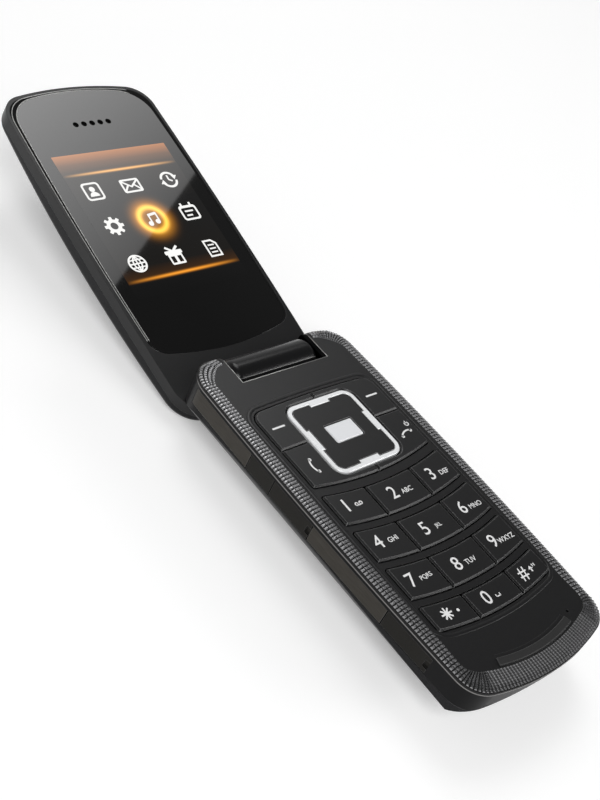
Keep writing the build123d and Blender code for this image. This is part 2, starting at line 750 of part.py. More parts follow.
with BuildPart() as front_housing:
    add(base_block)
    add(cavity.part, mode=Mode.SUBTRACT)
    add(slab(y=(-beyond, cavity_end), z=(-beyond, seam_height)), mode=Mode.SUBTRACT)
    add(slab(x=(-notch_half, notch_half), y=(notch_y, beyond)), mode=Mode.SUBTRACT)
    add(band_block.part, mode=Mode.SUBTRACT)
    add(rest_block.part, mode=Mode.SUBTRACT)
    # openings of the navigation block and of the four curved rows
    with BuildSketch(Plane.XY.offset(base_height)):
        add(block_outline(key_gap))
        for row in range(4):
            low_corner = (last_key_corner if row == 3 else key_corner) + key_gap
            add(row_outline(
                (-keys_half - key_gap, keys_half + key_gap),
                (row_bottoms[row] - key_gap, row_tops[row] + key_gap),
                key_corner + key_gap,
                (low_corner, low_corner),
            ))
    extrude(amount=-casing_wall, mode=Mode.SUBTRACT)
    # seat of the trim strips, with room behind the side key and a way through for its stem
    seat_y = (trim_end - joint_gap, strip_end + joint_gap)
    add(side_ring((0, strip_thickness + joint_gap), y=seat_y, z=trim_z), mode=Mode.SUBTRACT)
    key_room = (strip_thickness - joint_gap, strip_thickness + key_travel + slip_gap)
    key_span = (port_cover_start, side_key_start)
    add(side_ring(key_room, y=key_span, z=trim_z, x=left_half), mode=Mode.SUBTRACT)
    add(slab(
        x=(-beyond, side_wall - base_half_width + slip_gap),
        y=(side_key_y - stem_width / 2 - key_gap, side_key_y + stem_width / 2 + key_gap),
        z=(strip_middle - stem_height / 2 - key_gap, strip_middle + stem_height / 2 + key_gap),
    ), mode=Mode.SUBTRACT)
    # charging port and headset jack, opening through the left wall
    with BuildSketch(Plane.YZ):
        with Locations((port_y, port_z)):
            RectangleRounded(port_width, port_height, port_corner)
        with Locations((jack_y, port_z)):
            Circle(jack_radius)
    extrude(amount=-beyond, mode=Mode.SUBTRACT)
    # screw bosses, and room for the battery cover where it wraps up the end
    add(posts(screw_spots, boss_radius, (seam_height, boss_high)))
    add(posts(screw_spots, screw_radius, (seam_height, screw_tip + bore_gap)), mode=Mode.SUBTRACT)
    add(slab(x=(-cover_half, cover_half), y=(-beyond, mic_end + wrap_depth), z=(-beyond, cover_top)),
        mode=Mode.SUBTRACT)
    add(posts([mic_spot], mic_hole_radius, (boss_high, base_height)), mode=Mode.SUBTRACT)
    # sockets of the hinge in both knuckles
    cam_socket = (-notch_half - cam_in_knuckle - joint_gap, -notch_half)
    pin_socket = (notch_half, notch_half + pin_in_knuckle + joint_gap)
    add(turned(cam_socket, cam_radius + joint_gap), mode=Mode.SUBTRACT)
    add(turned(pin_socket, pin_radius + joint_gap), mode=Mode.SUBTRACT)
save(front_housing.part, "front_housing")

# ------------------------------------------------------------------ keys


def key(name, top_outline, flange_outline):
    """A moulded key: bevelled top, straight sides and a flange that holds it in the housing."""
    with BuildPart() as piece:
        with BuildSketch(Plane.XY.offset(key_low)):
            add(top_outline)
        extrude(amount=key_top - key_low)
        chamfer(piece.edges().group_by(Axis.Z)[-1], length=key_edge)
        with BuildSketch(Plane.XY.offset(key_low)):
            add(flange_outline)
        extrude(amount=flange_height)
    save(piece.part, name)


for index, name in enumerate(key_names):
    row, column = divmod(index, 3)
    left_corner = last_key_corner if name == "key_star" else key_corner
    right_corner = last_key_corner if name == "key_hash" else key_corner
    top_area, flange_area = [
        row_outline(
            columns[column],
            (row_bottoms[row] - reach, row_tops[row] + reach),
            key_corner,
            (left_corner, right_corner),
        )
        for reach in (0, flange_reach)
    ]
    key(name, top_area, flange_area)

for name, x, end in (
    ("soft_key_left", -1, beyond), ("soft_key_right", 1, beyond),
    ("call_key", -1, -beyond), ("end_key", 1, -beyond),
):
    areas = []
    for reach in (0, flange_reach):
        opening = 2 * (nav_half + key_gap)
        edge_x = x * split_gap / 2
        edge_y = split_y + (split_gap / 2 if end > 0 else -split_gap / 2)
        with BuildSketch(mode=Mode.PRIVATE) as area:
            add(block_outline(reach))
            with Locations((edge_x + x * beyond / 2, (edge_y + end) / 2)):
                Rectangle(beyond, abs(end - edge_y), mode=Mode.INTERSECT)
            add(nav_area(opening, opening, nav_corner + key_gap), mode=Mode.SUBTRACT)
        areas.append(area.sketch)
    key(name, *areas)

# ------------------------------------------------------------------ navigation key
with BuildPart() as nav_ring:
    with BuildSketch(Plane.XY.offset(ring_low)):
        add(ring_area())
    extrude(amount=ring_height + ring_stand)
    chamfer(nav_ring.edges().group_by(Axis.Z)[-1], length=ring_edge)
save(nav_ring.part, "nav_ring")

with BuildPart() as nav_plate:
    with BuildSketch(Plane.XY.offset(plate_low)):
        add(nav_area(2 * nav_half, 2 * nav_half, nav_corner))
    extrude(amount=plate_thickness)
    with BuildSketch(Plane.XY.offset(ring_low - joint_gap)):
        add(ring_area(joint_gap))
    extrude(amount=plate_thickness, mode=Mode.SUBTRACT)
    with BuildSketch(Plane.XY.offset(plate_low)):
        add(ok_area(ok_gap))
    extrude(amount=plate_thickness, mode=Mode.SUBTRACT)
save(nav_plate.part, "nav_plate")

with BuildPart() as nav_actuator:
    with BuildSketch(Plane.XY.offset(rocker_low)):
        add(nav_area(2 * rocker_half, 2 * rocker_half, rocker_corner))
        add(ok_area(key_gap), mode=Mode.SUBTRACT)
    extrude(amount=rocker_thickness)
save(nav_actuator.part, "nav_actuator")

with BuildPart() as ok_key:
    with BuildSketch(Plane.XY.offset(key_low)):
        add(ok_area())
    extrude(amount=key_top + ring_stand - key_low)
    chamfer(ok_key.edges().group_by(Axis.Z)[-1], length=ok_edge)
save(ok_key.part, "ok_key")

# ------------------------------------------------------------------ key mat, domes and board
mat_y = (keys_end - mat_skirt, block_top + mat_skirt)
boss_room = posts(screw_spots, boss_radius + slip_gap, (0, base_height))
mic_room = posts([mic_spot], mic_radius + slip_gap, (0, base_height))

with BuildPart() as keymat:
    add(slab(x=(-mat_half, mat_half), y=mat_y, z=(mat_low, mat_low + mat_thickness)))
    add(boss_room, mode=Mode.SUBTRACT)
    add(mic_room, mode=Mode.SUBTRACT)
    with BuildSketch(Plane.XY.offset(dome_top + joint_gap)):
        with Locations(dome_spots):
            RegularPolygon(nub_radius, dot_sides)
    extrude(amount=mat_low - dome_top)
save(keymat.part, "keymat")

with BuildPart() as dome_sheet:
    add(slab(x=(-mat_half, mat_half), y=mat_y, z=(board_high, film_high)))
    add(boss_room, mode=Mode.SUBTRACT)
    add(mic_room, mode=Mode.SUBTRACT)
    with BuildSketch(Plane.XY.offset(film_high)):
        with Locations(dome_spots):
            RegularPolygon(dome_radius, dot_sides)
    extrude(amount=dome_height, taper=dome_slope)
save(dome_sheet.part, "dome_sheet")

with BuildPart() as main_board:
    with BuildSketch(Plane.XY.offset(board_low)):
        add(base_outline(board_inset))
    extrude(amount=board_thickness)
    add(slab(y=(mic_end + board_mic_gap, cavity_end - board_hinge_gap)), mode=Mode.INTERSECT)
    add(boss_room, mode=Mode.SUBTRACT)
    for y, width, inner_x in (
        (port_y, port_width, port_front - port_depth),
        (jack_y, jack_body, jack_front - jack_depth),
        (side_key_y, stem_width, switch_front - switch_depth),
    ):
        half = width / 2 + slip_gap
        add(slab(x=(-beyond, slip_gap - inner_x), y=(y - half, y + half)), mode=Mode.SUBTRACT)
save(main_board.part, "main_board")

# ------------------------------------------------------------------ connectors and parts on the board
with BuildPart() as usb_connector:
    with BuildSketch(Plane.YZ.offset(-port_front)):
        with Locations((port_y, port_z)):
            RectangleRounded(port_width - 2 * slip_gap, port_height - 2 * slip_gap, port_corner - slip_gap)
    extrude(amount=port_depth)
    with BuildSketch(Plane.YZ.offset(-port_front)):
        with Locations((port_y, port_z)):
            RectangleRounded(port_width - 2 * port_wall, port_height - 2 * port_wall, port_corner - port_wall)
            Rectangle(port_width - 2 * tongue_margin, tongue_height, mode=Mode.SUBTRACT)
    extrude(amount=port_depth - socket_floor, mode=Mode.SUBTRACT)
save(usb_connector.part, "usb_connector")

with BuildPart() as headset_jack:
    add(slab(
        x=(-jack_front, jack_depth - jack_front),
        y=(jack_y - jack_body / 2, jack_y + jack_body / 2),
        z=(port_z - port_height / 2, port_z + port_height / 2),
    ))
    with BuildSketch(Plane.YZ.offset(-jack_front)):
        with Locations((jack_y, port_z)):
            Circle(jack_radius - jack_wall)
    extrude(amount=jack_depth - socket_floor, mode=Mode.SUBTRACT)
save(headset_jack.part, "headset_jack")

with BuildPart() as side_switch:
    add(slab(
        x=(-switch_front, switch_depth - switch_front),
        y=(side_key_y - switch_width / 2, side_key_y + switch_width / 2),
        z=(strip_middle - stem_height / 2, strip_middle - stem_height / 2 + switch_height),
    ))
save(side_switch.part, "side_switch")

with BuildPart() as microphone:
    add(posts([mic_spot], mic_radius, (board_high, boss_high - joint_gap)))
    chamfer(microphone.edges().group_by(Axis.Z)[-1], length=mic_edge)
save(microphone.part, "microphone")

with BuildPart() as shield_can:
    can_x = base_half_width - can_margin
    add(block(can_width, can_length, can_corner, (can_x, sim_y), (below_board - can_height, below_board)))
save(shield_can.part, "shield_can")

with BuildPart() as sim_holder:
    sim_low = below_board - sim_height
    add(block(2 * sim_half, sim_length, can_corner, (0, sim_y), (sim_low, below_board)))
    add(slab(
        x=(sim_frame - sim_half, sim_half - sim_frame),
        y=(sim_y - sim_length / 2 + sim_frame, sim_y + sim_length / 2 - sim_frame),
        z=(sim_low, below_board - sim_top),
    ), mode=Mode.SUBTRACT)
save(sim_holder.part, "sim_holder")

with BuildPart() as antenna:
    antenna_width = 2 * (battery_half - antenna_margin)
    antenna_z = (below_board - antenna_height, below_board)
    add(block(antenna_width, antenna_length, antenna_corner, (0, antenna_y), antenna_z))
save(antenna.part, "antenna")

# ------------------------------------------------------------------ rear housing and battery cover
with BuildPart() as rear_housing:
    add(base_block)
    add(base_body(casing_wall), mode=Mode.SUBTRACT)
    seam_low = seam_height - joint_gap
    add(slab(y=(-beyond, cavity_end - joint_gap), z=(-beyond, seam_low)), mode=Mode.INTERSECT)
    add(cover_zone, mode=Mode.SUBTRACT)
    # battery bay, open at the back, with a notch for the contacts
    bay_high = battery_high + bay_gap
    add(slab(x=(-bay_outer, bay_outer), y=(bay_end, bay_start), z=(bay_low, bay_high + bay_roof)))
    add(slab(
        x=(-bay_half, bay_half),
        y=(battery_end - bay_gap, battery_start + bay_gap),
        z=(0, bay_high),
    ), mode=Mode.SUBTRACT)
    contacts_room = contacts_half + slip_gap
    contacts_span = (battery_start, bay_start + slip_gap)
    add(slab(x=(-contacts_room, contacts_room), y=contacts_span), mode=Mode.SUBTRACT)
    # ribs that tie the bay to the side walls
    with BuildSketch(Plane.XY.offset(bay_low)):
        with Locations((0, (bay_end + bay_start) / 2)):
            with GridLocations(bay_outer + rib_far, rib_spacing, 2, rib_count):
                Rectangle(rib_far - bay_outer + 2 * slip_gap, rib_width)
    extrude(amount=seam_height - rib_setback - bay_low)
    # screw bosses: two stand on the floor, two hang from the bay at the microphone end
    add(posts(screw_spots, boss_radius + slip_gap, (seam_low, base_height)), mode=Mode.SUBTRACT)
    add(posts(hinge_screws, boss_radius, (casing_wall / 2, seam_low)))
    add(posts(mic_screws, boss_radius, (boss_low, seam_low)))
    add(posts(screw_spots, screw_radius + slip_gap, (0, seam_height)), mode=Mode.SUBTRACT)
    add(posts(screw_spots, screw_head_radius + slip_gap, (0, boss_low + screw_head)), mode=Mode.SUBTRACT)
    # sound slots of the loudspeaker
    with BuildSketch(Plane.XY):
        with Locations((0, speaker_y)):
            with GridLocations(slot_pitch, 0, slot_count, 1):
                SlotOverall(slot_length, slot_width, rotation=90)
    extrude(amount=speaker_low, mode=Mode.SUBTRACT)
save(rear_housing.part, "rear_housing")

with BuildPart() as battery_cover:
    add(base_block)
    add(base_body(casing_wall), mode=Mode.SUBTRACT)
    add(slab(
        x=(cover_gap - cover_half, cover_half - cover_gap),
        y=(-beyond, cover_end - cover_gap),
        z=(-beyond, cover_top - cover_gap),
    ), mode=Mode.INTERSECT)
    # grooves for the thumb
    with BuildSketch(Plane.XY):
        with Locations((0, cover_end - groove_setback)):
            with GridLocations(0, groove_pitch, 1, groove_count):
                SlotOverall(groove_length, groove_width)
    extrude(amount=groove_depth, mode=Mode.SUBTRACT)
save(battery_cover.part, "battery_cover")

with BuildPart() as battery:
    battery_length = battery_start - battery_end
    battery_middle = (0, (battery_start + battery_end) / 2)
    add(block(2 * battery_half, battery_length, battery_corner, battery_middle, (battery_low, battery_high)))
save(battery.part, "battery")

with BuildPart() as battery_contacts:
    contacts_y = battery_start + slip_gap
    add(slab(
        x=(-contacts_half, contacts_half),
        y=(contacts_y, contacts_y + contacts_length),
        z=(battery_low + contacts_rise, below_board),
    ))
save(battery_contacts.part, "battery_contacts")

with BuildPart() as housing_screws:
    head_top = boss_low + screw_head
    add(posts(screw_spots, screw_head_radius, (boss_low, head_top)))
    add(posts(screw_spots, screw_radius - joint_gap, (head_top, screw_tip)))
save(housing_screws.part, "housing_screws")

with BuildPart() as loudspeaker:
    speaker_z = (speaker_low, speaker_low + speaker_height)
    add(block(2 * speaker_half, speaker_length, speaker_corner, (0, speaker_y), speaker_z))
save(loudspeaker.part, "loudspeaker")

with BuildPart() as vibration_motor:
    add(posts([(motor_x, speaker_y)], motor_radius, (speaker_low, speaker_low + motor_height)))
save(vibration_motor.part, "vibration_motor")

# ------------------------------------------------------------------ hinge pieces
cartridge_end = cartridge_length - barrel_half
pin_start = barrel_half - pin_in_barrel

with BuildPart() as hinge_cam:
    add(turned((-notch_half - cam_in_knuckle, cam_in_cartridge - barrel_half), cam_radius))
save(hinge_cam.part, "hinge_cam")

with BuildPart() as hinge_pin:
    add(turned((pin_start, notch_half + pin_in_knuckle), pin_radius))
    add(turned((0, beyond), pin_bore), mode=Mode.SUBTRACT)
save(hinge_pin.part, "hinge_pin")

with BuildPart() as hinge_cartridge:
    add(turned((slip_gap - barrel_half, cartridge_end), cartridge_radius))
    cam_bore = (-beyond, cam_in_cartridge + 2 * slip_gap - barrel_half)
    add(turned(cam_bore, cam_radius + running_gap), mode=Mode.SUBTRACT)
save(hinge_cartridge.part, "hinge_cartridge")

# ------------------------------------------------------------------ lid housings
lid_block = lid_body()
lid_inside = lid_body(lid_wall)

with BuildPart() as barrel:
    with BuildSketch(Plane(hinge_point, x_dir=(1, 0, 0), z_dir=(0, 0, 1))) as profile:
        Rectangle(2 * barrel_half, barrel_radius, align=(Align.CENTER, Align.MIN))
        fillet(profile.vertices().group_by(Axis.Y)[-1], radius=barrel_corner)
    revolve(axis=Axis(hinge_point, (1, 0, 0)))
    add(lid_slab(along=(-beyond, -barrel_flat)), mode=Mode.SUBTRACT)
    with BuildSketch(lid_side):
        with BuildLine():
            neck_near = neck_setback - lid_chin
            root = -face_offset - neck_root
            Polyline(
                (-barrel_flat, 0), (-barrel_flat, -barrel_radius), (neck_near, -face_offset),
                (neck_near, root), (neck_reach, root), (neck_reach, -face_offset),
                (barrel_radius, -barrel_flat), (barrel_radius, 0), close=True,
            )
        make_face()
    extrude(amount=barrel_half - barrel_corner / 2, both=True)

with BuildPart() as lid_front:
    add(lid_block)
    add(lid_slab(out=(-beyond, seam_at)), mode=Mode.SUBTRACT)
    with BuildPart(mode=Mode.SUBTRACT):
        add(lid_inside)
        add(lid_slab(out=(shelf_low, beyond)), mode=Mode.SUBTRACT)
    with BuildSketch(lid_plane.offset(-face_offset)):
        add(lens_outline(joint_gap))
    extrude(amount=-lens_thickness - joint_gap, mode=Mode.SUBTRACT)
    # openings of the display module and of the earpiece, with the mesh's seat
    module_room = (module_near - slip_gap, module_far + slip_gap)
    add(lid_slab(module_half + slip_gap, module_room), mode=Mode.SUBTRACT)
    for grow, low in ((slip_gap, mesh_low), (-mesh_rest, -beyond)):
        half_length = mesh_half_length + grow
        add(lid_slab(
            mesh_half + grow, (ear_at - half_length, ear_at + half_length), (low, beyond), mesh_corner + grow
        ), mode=Mode.SUBTRACT)
    add(barrel.part)
    # bores for the hinge cartridge and the hinge pin
    add(turned((-beyond, cartridge_end + joint_gap), cartridge_radius + joint_gap), mode=Mode.SUBTRACT)
    add(turned((pin_start - slip_gap, beyond), pin_radius + running_gap), mode=Mode.SUBTRACT)
save(lid_front.part, "lid_front")

with BuildPart() as lid_rear:
    add(lid_block)
    add(lid_inside, mode=Mode.SUBTRACT)
    add(lid_slab(out=(seam_at - joint_gap, beyond)), mode=Mode.SUBTRACT)
    # seat of the camera's window, and the way in behind it
    for radius, depth in (
        (camera_radius + joint_gap, -lid_thick),
        (camera_radius - camera_rim, lid_thick),
    ):
        with BuildSketch(lid_plane.offset(camera_back)):
            with Locations((0, camera_at)):
                Circle(radius)
        extrude(amount=depth, mode=Mode.SUBTRACT)
save(lid_rear.part, "lid_rear")

# ------------------------------------------------------------------ pieces in the lid
with BuildPart() as camera_window:
    with BuildSketch(lid_plane.offset(camera_back - joint_gap)):
        with Locations((0, camera_at)):
            Circle(camera_radius)
    extrude(amount=-window_thickness)
save(camera_window.part, "camera_window")

with BuildPart() as camera_module:
    camera_span = (camera_at - camera_half, camera_at + camera_half)
    camera_depth = (camera_back + camera_nose, under_shelf - slip_gap)
    add(lid_slab(camera_half, camera_span, camera_depth, camera_corner))
    with BuildSketch(lid_plane.offset(camera_back + joint_gap)):
        with Locations((0, camera_at)):
            Circle(camera_radius - camera_rim - 2 * slip_gap)
    extrude(amount=camera_nose)
save(camera_module.part, "camera_module")

with BuildPart() as display_lens:
    with BuildSketch(lid_plane.offset(-face_offset)):
        add(lens_outline())
        with Locations((0, ear_at)):
            with GridLocations(ear_hole_pitch, 0, ear_holes, 1):
                Circle(ear_hole_radius, mode=Mode.SUBTRACT)
    extrude(amount=-lens_thickness)
save(display_lens.part, "display_lens")

with BuildPart() as display_gasket:
    add(lid_slab(module_half, (module_near, module_far), (module_top, lens_back)))
    picture = (screen_start - screen_gap, screen_start + screen_length + screen_gap)
    add(lid_slab(screen_width / 2 + screen_gap, picture), mode=Mode.SUBTRACT)
save(display_gasket.part, "display_gasket")

with BuildPart() as display_module:
    add(lid_slab(module_half, (module_near, module_far), (module_low, module_top)))
save(display_module.part, "display_module")

with BuildPart() as lid_board:
    board_top = module_low - lid_board_gap
    board_along = (module_near + lid_board_near, module_far - lid_board_far)
    board_out = (board_top - lid_board_thickness, board_top)
    add(lid_slab(module_half - lid_board_margin, board_along, board_out))
save(lid_board.part, "lid_board")

with BuildPart() as earpiece_mesh:
    mesh_along = (ear_at - mesh_half_length, ear_at + mesh_half_length)
    mesh_out = (mesh_low + joint_gap, mesh_low + joint_gap + mesh_thickness)
    add(lid_slab(mesh_half, mesh_along, mesh_out, mesh_corner))
save(earpiece_mesh.part, "earpiece_mesh")

with BuildPart() as earpiece:
    ear_along = (ear_at - earpiece_half_length, ear_at + earpiece_half_length)
    add(lid_slab(mesh_half, ear_along, (under_shelf - earpiece_height, under_shelf), earpiece_corner))
save(earpiece.part, "earpiece")

with BuildPart() as lid_magnet:
    magnet_along = (magnet_at - magnet_half_length, magnet_at + magnet_half_length)
    add(lid_slab(magnet_half_width, magnet_along, (under_shelf - magnet_height, under_shelf)))
save(lid_magnet.part, "lid_magnet")
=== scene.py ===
"""Looks of the flip phone: finishes, key legends, knurled grip band, lit display, camera and light.

Lengths are written in millimetres and turned into metres by MM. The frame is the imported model's own:
X across the phone, Y along the base towards the hinge, Z up out of the keypad.
"""
import json
import math

import bmesh
import bpy
from mathutils import Matrix, Vector
from mathutils.bvhtree import BVHTree


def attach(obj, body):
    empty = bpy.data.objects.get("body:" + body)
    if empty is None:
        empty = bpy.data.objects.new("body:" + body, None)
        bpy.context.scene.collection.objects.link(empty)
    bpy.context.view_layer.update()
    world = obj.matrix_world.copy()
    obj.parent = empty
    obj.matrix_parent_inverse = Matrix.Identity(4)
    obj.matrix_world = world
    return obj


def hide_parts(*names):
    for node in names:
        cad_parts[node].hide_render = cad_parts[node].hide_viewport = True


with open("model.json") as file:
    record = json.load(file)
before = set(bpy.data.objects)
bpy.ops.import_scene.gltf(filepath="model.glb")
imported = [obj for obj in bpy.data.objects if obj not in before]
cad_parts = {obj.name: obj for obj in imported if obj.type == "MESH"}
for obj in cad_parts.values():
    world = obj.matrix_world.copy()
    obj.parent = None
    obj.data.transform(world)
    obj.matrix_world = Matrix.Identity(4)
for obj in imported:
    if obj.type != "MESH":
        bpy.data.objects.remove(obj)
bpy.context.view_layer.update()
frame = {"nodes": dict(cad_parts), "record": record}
nodes = frame["nodes"]
MM = 0.001

# -------------------- places taken from the phone's drawing
HINGE = Vector((0, 45.1, 5.8))
LID_TILT = math.radians(180 - 167.3)
LENS_TOP = -5.6             # heights in the lid are measured from the hinge axis, along the lid's normal
LENS_BACK = -6.5
WINDOW_FACE = -12.1
LENS_HALF, LENS_END_HALF = 22.0, 21.2
LENS_TIP, LENS_TIP_SIDE, LENS_TIP_CORNER = 92.0, 89.4, 6.0
LENS_LOW, LENS_LOW_SIDE, LENS_LOW_CORNER = 10.9, 14.3, 5.0
EAR_AT, EAR_PITCH, EAR_RADIUS, EAR_HOLES = 80.9, 2.5, 0.75, 5
WINDOW_AT = 18.5
SCREEN_START, SCREEN_LENGTH, SCREEN_WIDTH = 28.3, 43.6, 34.9
SCREEN_MIDDLE = SCREEN_START + SCREEN_LENGTH / 2
KEYPAD_FACE, KEY_TOP = 10.5, 11.0
BARREL_RADIUS, BARREL_HALF = 4.75, 13.2
BARREL_SHADE_LINE_SLOPE = 1.02     # rise over run, from the axis, of the line between the barrel's painted highlight and its painted slot shade
BARREL_HIGHLIGHT_BAND = 0.20           # how far above that line the painted highlight, a pale band, reaches
# below the second height the grip band's edge is painted pale metal as a highlight line
BAND_FOOT, BAND_HIGHLIGHT_TOP = 9.28, 9.58
ROW_RADIUS = 86.0
KEYS_HALF, KEYS_END, BLOCK_TOP, BLOCK_FALL = 18.6, -33.4, 31.5, 0.6
BLOCK_CORNER, LAST_CORNER = 3.0, 3.4
HEAD_LOW = 2.0
SCREW_X, SCREW_Y = 16.5, 35.9
NOTCH_EDGE, NOTCH_Y, NOTCH_END = 13.5, 39.9, 47.2

lid_along = Vector((0, math.cos(LID_TILT), math.sin(LID_TILT)))
lid_out = Vector((0, -math.sin(LID_TILT), math.cos(LID_TILT)))
LID = Matrix.Translation(HINGE * MM) @ Matrix(
    ((1, 0, 0, 0), (0, lid_along.y, lid_out.y, 0), (0, lid_along.z, lid_out.z, 0), (0, 0, 0, 1))
)


# -------------------- shader tools


def set_or_link(tree, socket, value):
    """Give an input a constant, or a link from another node's output."""
    if isinstance(value, bpy.types.NodeSocket):
        tree.links.new(value, socket)
    else:
        socket.default_value = value


def add_math(tree, operation, first, second=0.0):
    """A Math node; each input is a number or a socket. Returns its output."""
    node = tree.nodes.new("ShaderNodeMath")
    node.operation = operation
    for socket, value in zip(node.inputs, (first, second)):
        set_or_link(tree, socket, value)
    return node.outputs["Value"]


def vector_math(tree, operation, first, second):
    """A Vector Math node; each input is a vector or a socket. Returns its output."""
    node = tree.nodes.new("ShaderNodeVectorMath")
    node.operation = operation
    for socket, value in zip(node.inputs, (first, second)):
        set_or_link(tree, socket, value)
    return node.outputs["Value" if operation == "DOT_PRODUCT" else "Vector"]


def squared(tree, value):
    return add_math(tree, "MULTIPLY", value, value)


def separate(tree, vector):
    """The X, Y and Z of a vector."""
    split = tree.nodes.new("ShaderNodeSeparateXYZ")
    tree.links.new(vector, split.inputs["Vector"])
    return [split.outputs[axis] for axis in "XYZ"]


def map_range(tree, value, source, target):
    """A value carried from one range, (start, end), to another, and held at its ends."""
    node = tree.nodes.new("ShaderNodeMapRange")
    for name, number in zip(("From Min", "From Max", "To Min", "To Max"), (*source, *target)):
        node.inputs[name].default_value = number
    tree.links.new(value, node.inputs["Value"])
    return node.outputs["Result"]


def color_ramp(tree, amount, stops):
    """The colour at an amount, on a ramp whose (place, colour) stops are in rising order."""
    node = tree.nodes.new("ShaderNodeValToRGB")
    elements = node.color_ramp.elements
    for element, (place, color) in zip(elements, (stops[0], stops[-1])):
        element.position, element.color = place, (*color, 1)
    for place, color in stops[1:-1]:
        elements.new(place).color = (*color, 1)
    tree.links.new(amount, node.inputs["Fac"])
    return node.outputs["Color"]


def mix_colors(tree, amount, first, second, blend="MIX"):
    """Blend a constant colour, second, over the colour of a socket, first."""
    node = tree.nodes.new("ShaderNodeMix")
    node.data_type = "RGBA"
    node.blend_type = blend
    tree.links.new(amount, node.inputs[0])
    tree.links.new(first, node.inputs[6])
    node.inputs[7].default_value = (*second, 1)
    return node.outputs[2]


def object_place(tree):
    """The Object coordinates, in metres."""
    return tree.nodes.new("ShaderNodeTexCoord").outputs["Object"]


# -------------------- camera and light
# The places and sizes of the camera, the lamps and the floor are in metres; FLOOR_Z is in mm.
CAMERA_PLACE = Vector((-0.19081, -0.08537, 0.18724))
CAMERA_RIGHT = Vector((0.70960, -0.61147, 0.35011))
CAMERA_UP = Vector((0.23882, 0.67620, 0.69694))
CAMERA_LENS, CAMERA_SENSOR = 56.7, 36
# the key light's lower edge is what the lens mirrors as the slanting line across its face
KEY_EDGE_MIDDLE = Vector((0.482, 0.306, 0.611))
KEY_EDGE = Vector((0.734, 0.555, -0.390)).normalized()
KEY_AWAY = Vector((-0.546, 0.824, 0.145)).normalized()
KEY_SIZE = (0.50, 0.45)
KEY_SHIFT = -0.10
KEY_POWER = 3.6
KEY_FADE = ((0.0, 0.35), (0.22, 0.66))      # from and to as shares of its height, and the strengths there
SOFT_LIGHTS = (             # name, place, where it points, size and power
    ("fill_light", (-0.42, -0.50, 0.75), (0, 0.03, 0), (0.5, 0.5), 5.5),
    ("low_light", (0.62, -0.56, 0.38), (0, 0.0, 0), (0.5, 0.22), 2.2),
)
# the sky's light by height; along Y and along X it is multiplied, (from, to), by (factors there)
SKY = ((0.05, 1.0), (0.30, 0.80), (0.50, 0.55), (0.62, 0.36), (0.76, 0.15), (1.0, 0.14))
SKY_BY_Y = ((-0.5, 0.7), (0.40, 1.20))
SKY_BY_X = ((0.2, 0.85), (1.0, 0.40))
BACKDROP_TONE = 0.85
FLOOR_Z = -5.57             # the open lid's hinge end is the lowest place
FLOOR_SIZE = 6
FLOOR_GLOW = 0.30


def make_camera():
    """The camera stands at the photograph's viewing angle; the picture is strongly rolled."""
    data = bpy.data.cameras.new("camera")
    data.lens = CAMERA_LENS
    data.sensor_width = CAMERA_SENSOR
    data.clip_start = 0.01
    camera = bpy.data.objects.new("camera", data)
    back = CAMERA_RIGHT.cross(CAMERA_UP)
    turn = Matrix((CAMERA_RIGHT, CAMERA_UP, back)).transposed().to_4x4()
    camera.matrix_world = Matrix.Translation(CAMERA_PLACE) @ turn
    bpy.context.scene.collection.objects.link(camera)
    bpy.context.scene.camera = camera


def area_lamp(name, turn, size, power):
    """A soft box whose matrix says where it is and which way it faces (down its own -Z)."""
    data = bpy.data.lights.new(name, "AREA")
    data.shape = "RECTANGLE"
    data.size, data.size_y = size
    data.energy = power
    lamp = bpy.data.objects.new(name, data)
    lamp.matrix_world = turn
    lamp.visible_camera = False
    bpy.context.scene.collection.objects.link(lamp)
    return lamp


def facing(place, target):
    """Matrix of a lamp at a place, turned to a target."""
    turn = (Vector(target) - Vector(place)).to_track_quat("-Z", "Y").to_matrix().to_4x4()
    return Matrix.Translation(place) @ turn


def key_lamp():
    """The key light, dim along its lower edge and brighter above it."""
    middle = KEY_EDGE_MIDDLE + KEY_AWAY * KEY_SIZE[1] / 2 + KEY_EDGE * KEY_SHIFT
    turn = Matrix((KEY_EDGE, KEY_AWAY, KEY_EDGE.cross(KEY_AWAY))).transposed().to_4x4()
    lamp = area_lamp("key_light", Matrix.Translation(middle) @ turn, KEY_SIZE, KEY_POWER)
    lamp.data.use_nodes = True
    tree = lamp.data.node_tree
    geometry = tree.nodes.new("ShaderNodeNewGeometry")
    height = separate(tree, geometry.outputs["Parametric"])[1]
    tree.links.new(map_range(tree, height, *KEY_FADE), tree.nodes["Emission"].inputs["Strength"])


def make_world():
    """A studio that is pale at the horizon and dark overhead, and darker towards -Y and +X.

    The camera alone sees an even, pale backdrop in its place.
    """
    world = bpy.data.worlds.new("studio")
    bpy.context.scene.world = world
    world.use_nodes = True
    tree = world.node_tree
    studio = tree.nodes["Background"]
    coordinates = tree.nodes.new("ShaderNodeTexCoord")
    x, y, z = separate(tree, coordinates.outputs["Generated"])
    sky = color_ramp(tree, z, [(place, (level, level, level)) for place, level in SKY])
    tree.links.new(sky, studio.inputs["Color"])
    strength = add_math(tree, "MULTIPLY", map_range(tree, y, *SKY_BY_Y), map_range(tree, x, *SKY_BY_X))
    tree.links.new(strength, studio.inputs["Strength"])
    backdrop = tree.nodes.new("ShaderNodeBackground")
    backdrop.inputs["Color"].default_value = (BACKDROP_TONE, BACKDROP_TONE, BACKDROP_TONE, 1)
    rays = tree.nodes.new("ShaderNodeLightPath")
    mix = tree.nodes.new("ShaderNodeMixShader")
    tree.links.new(rays.outputs["Is Camera Ray"], mix.inputs["Fac"])
    tree.links.new(studio.outputs["Background"], mix.inputs[1])
    tree.links.new(backdrop.outputs["Background"], mix.inputs[2])
    tree.links.new(mix.outputs["Shader"], tree.nodes["World Output"].inputs["Surface"])


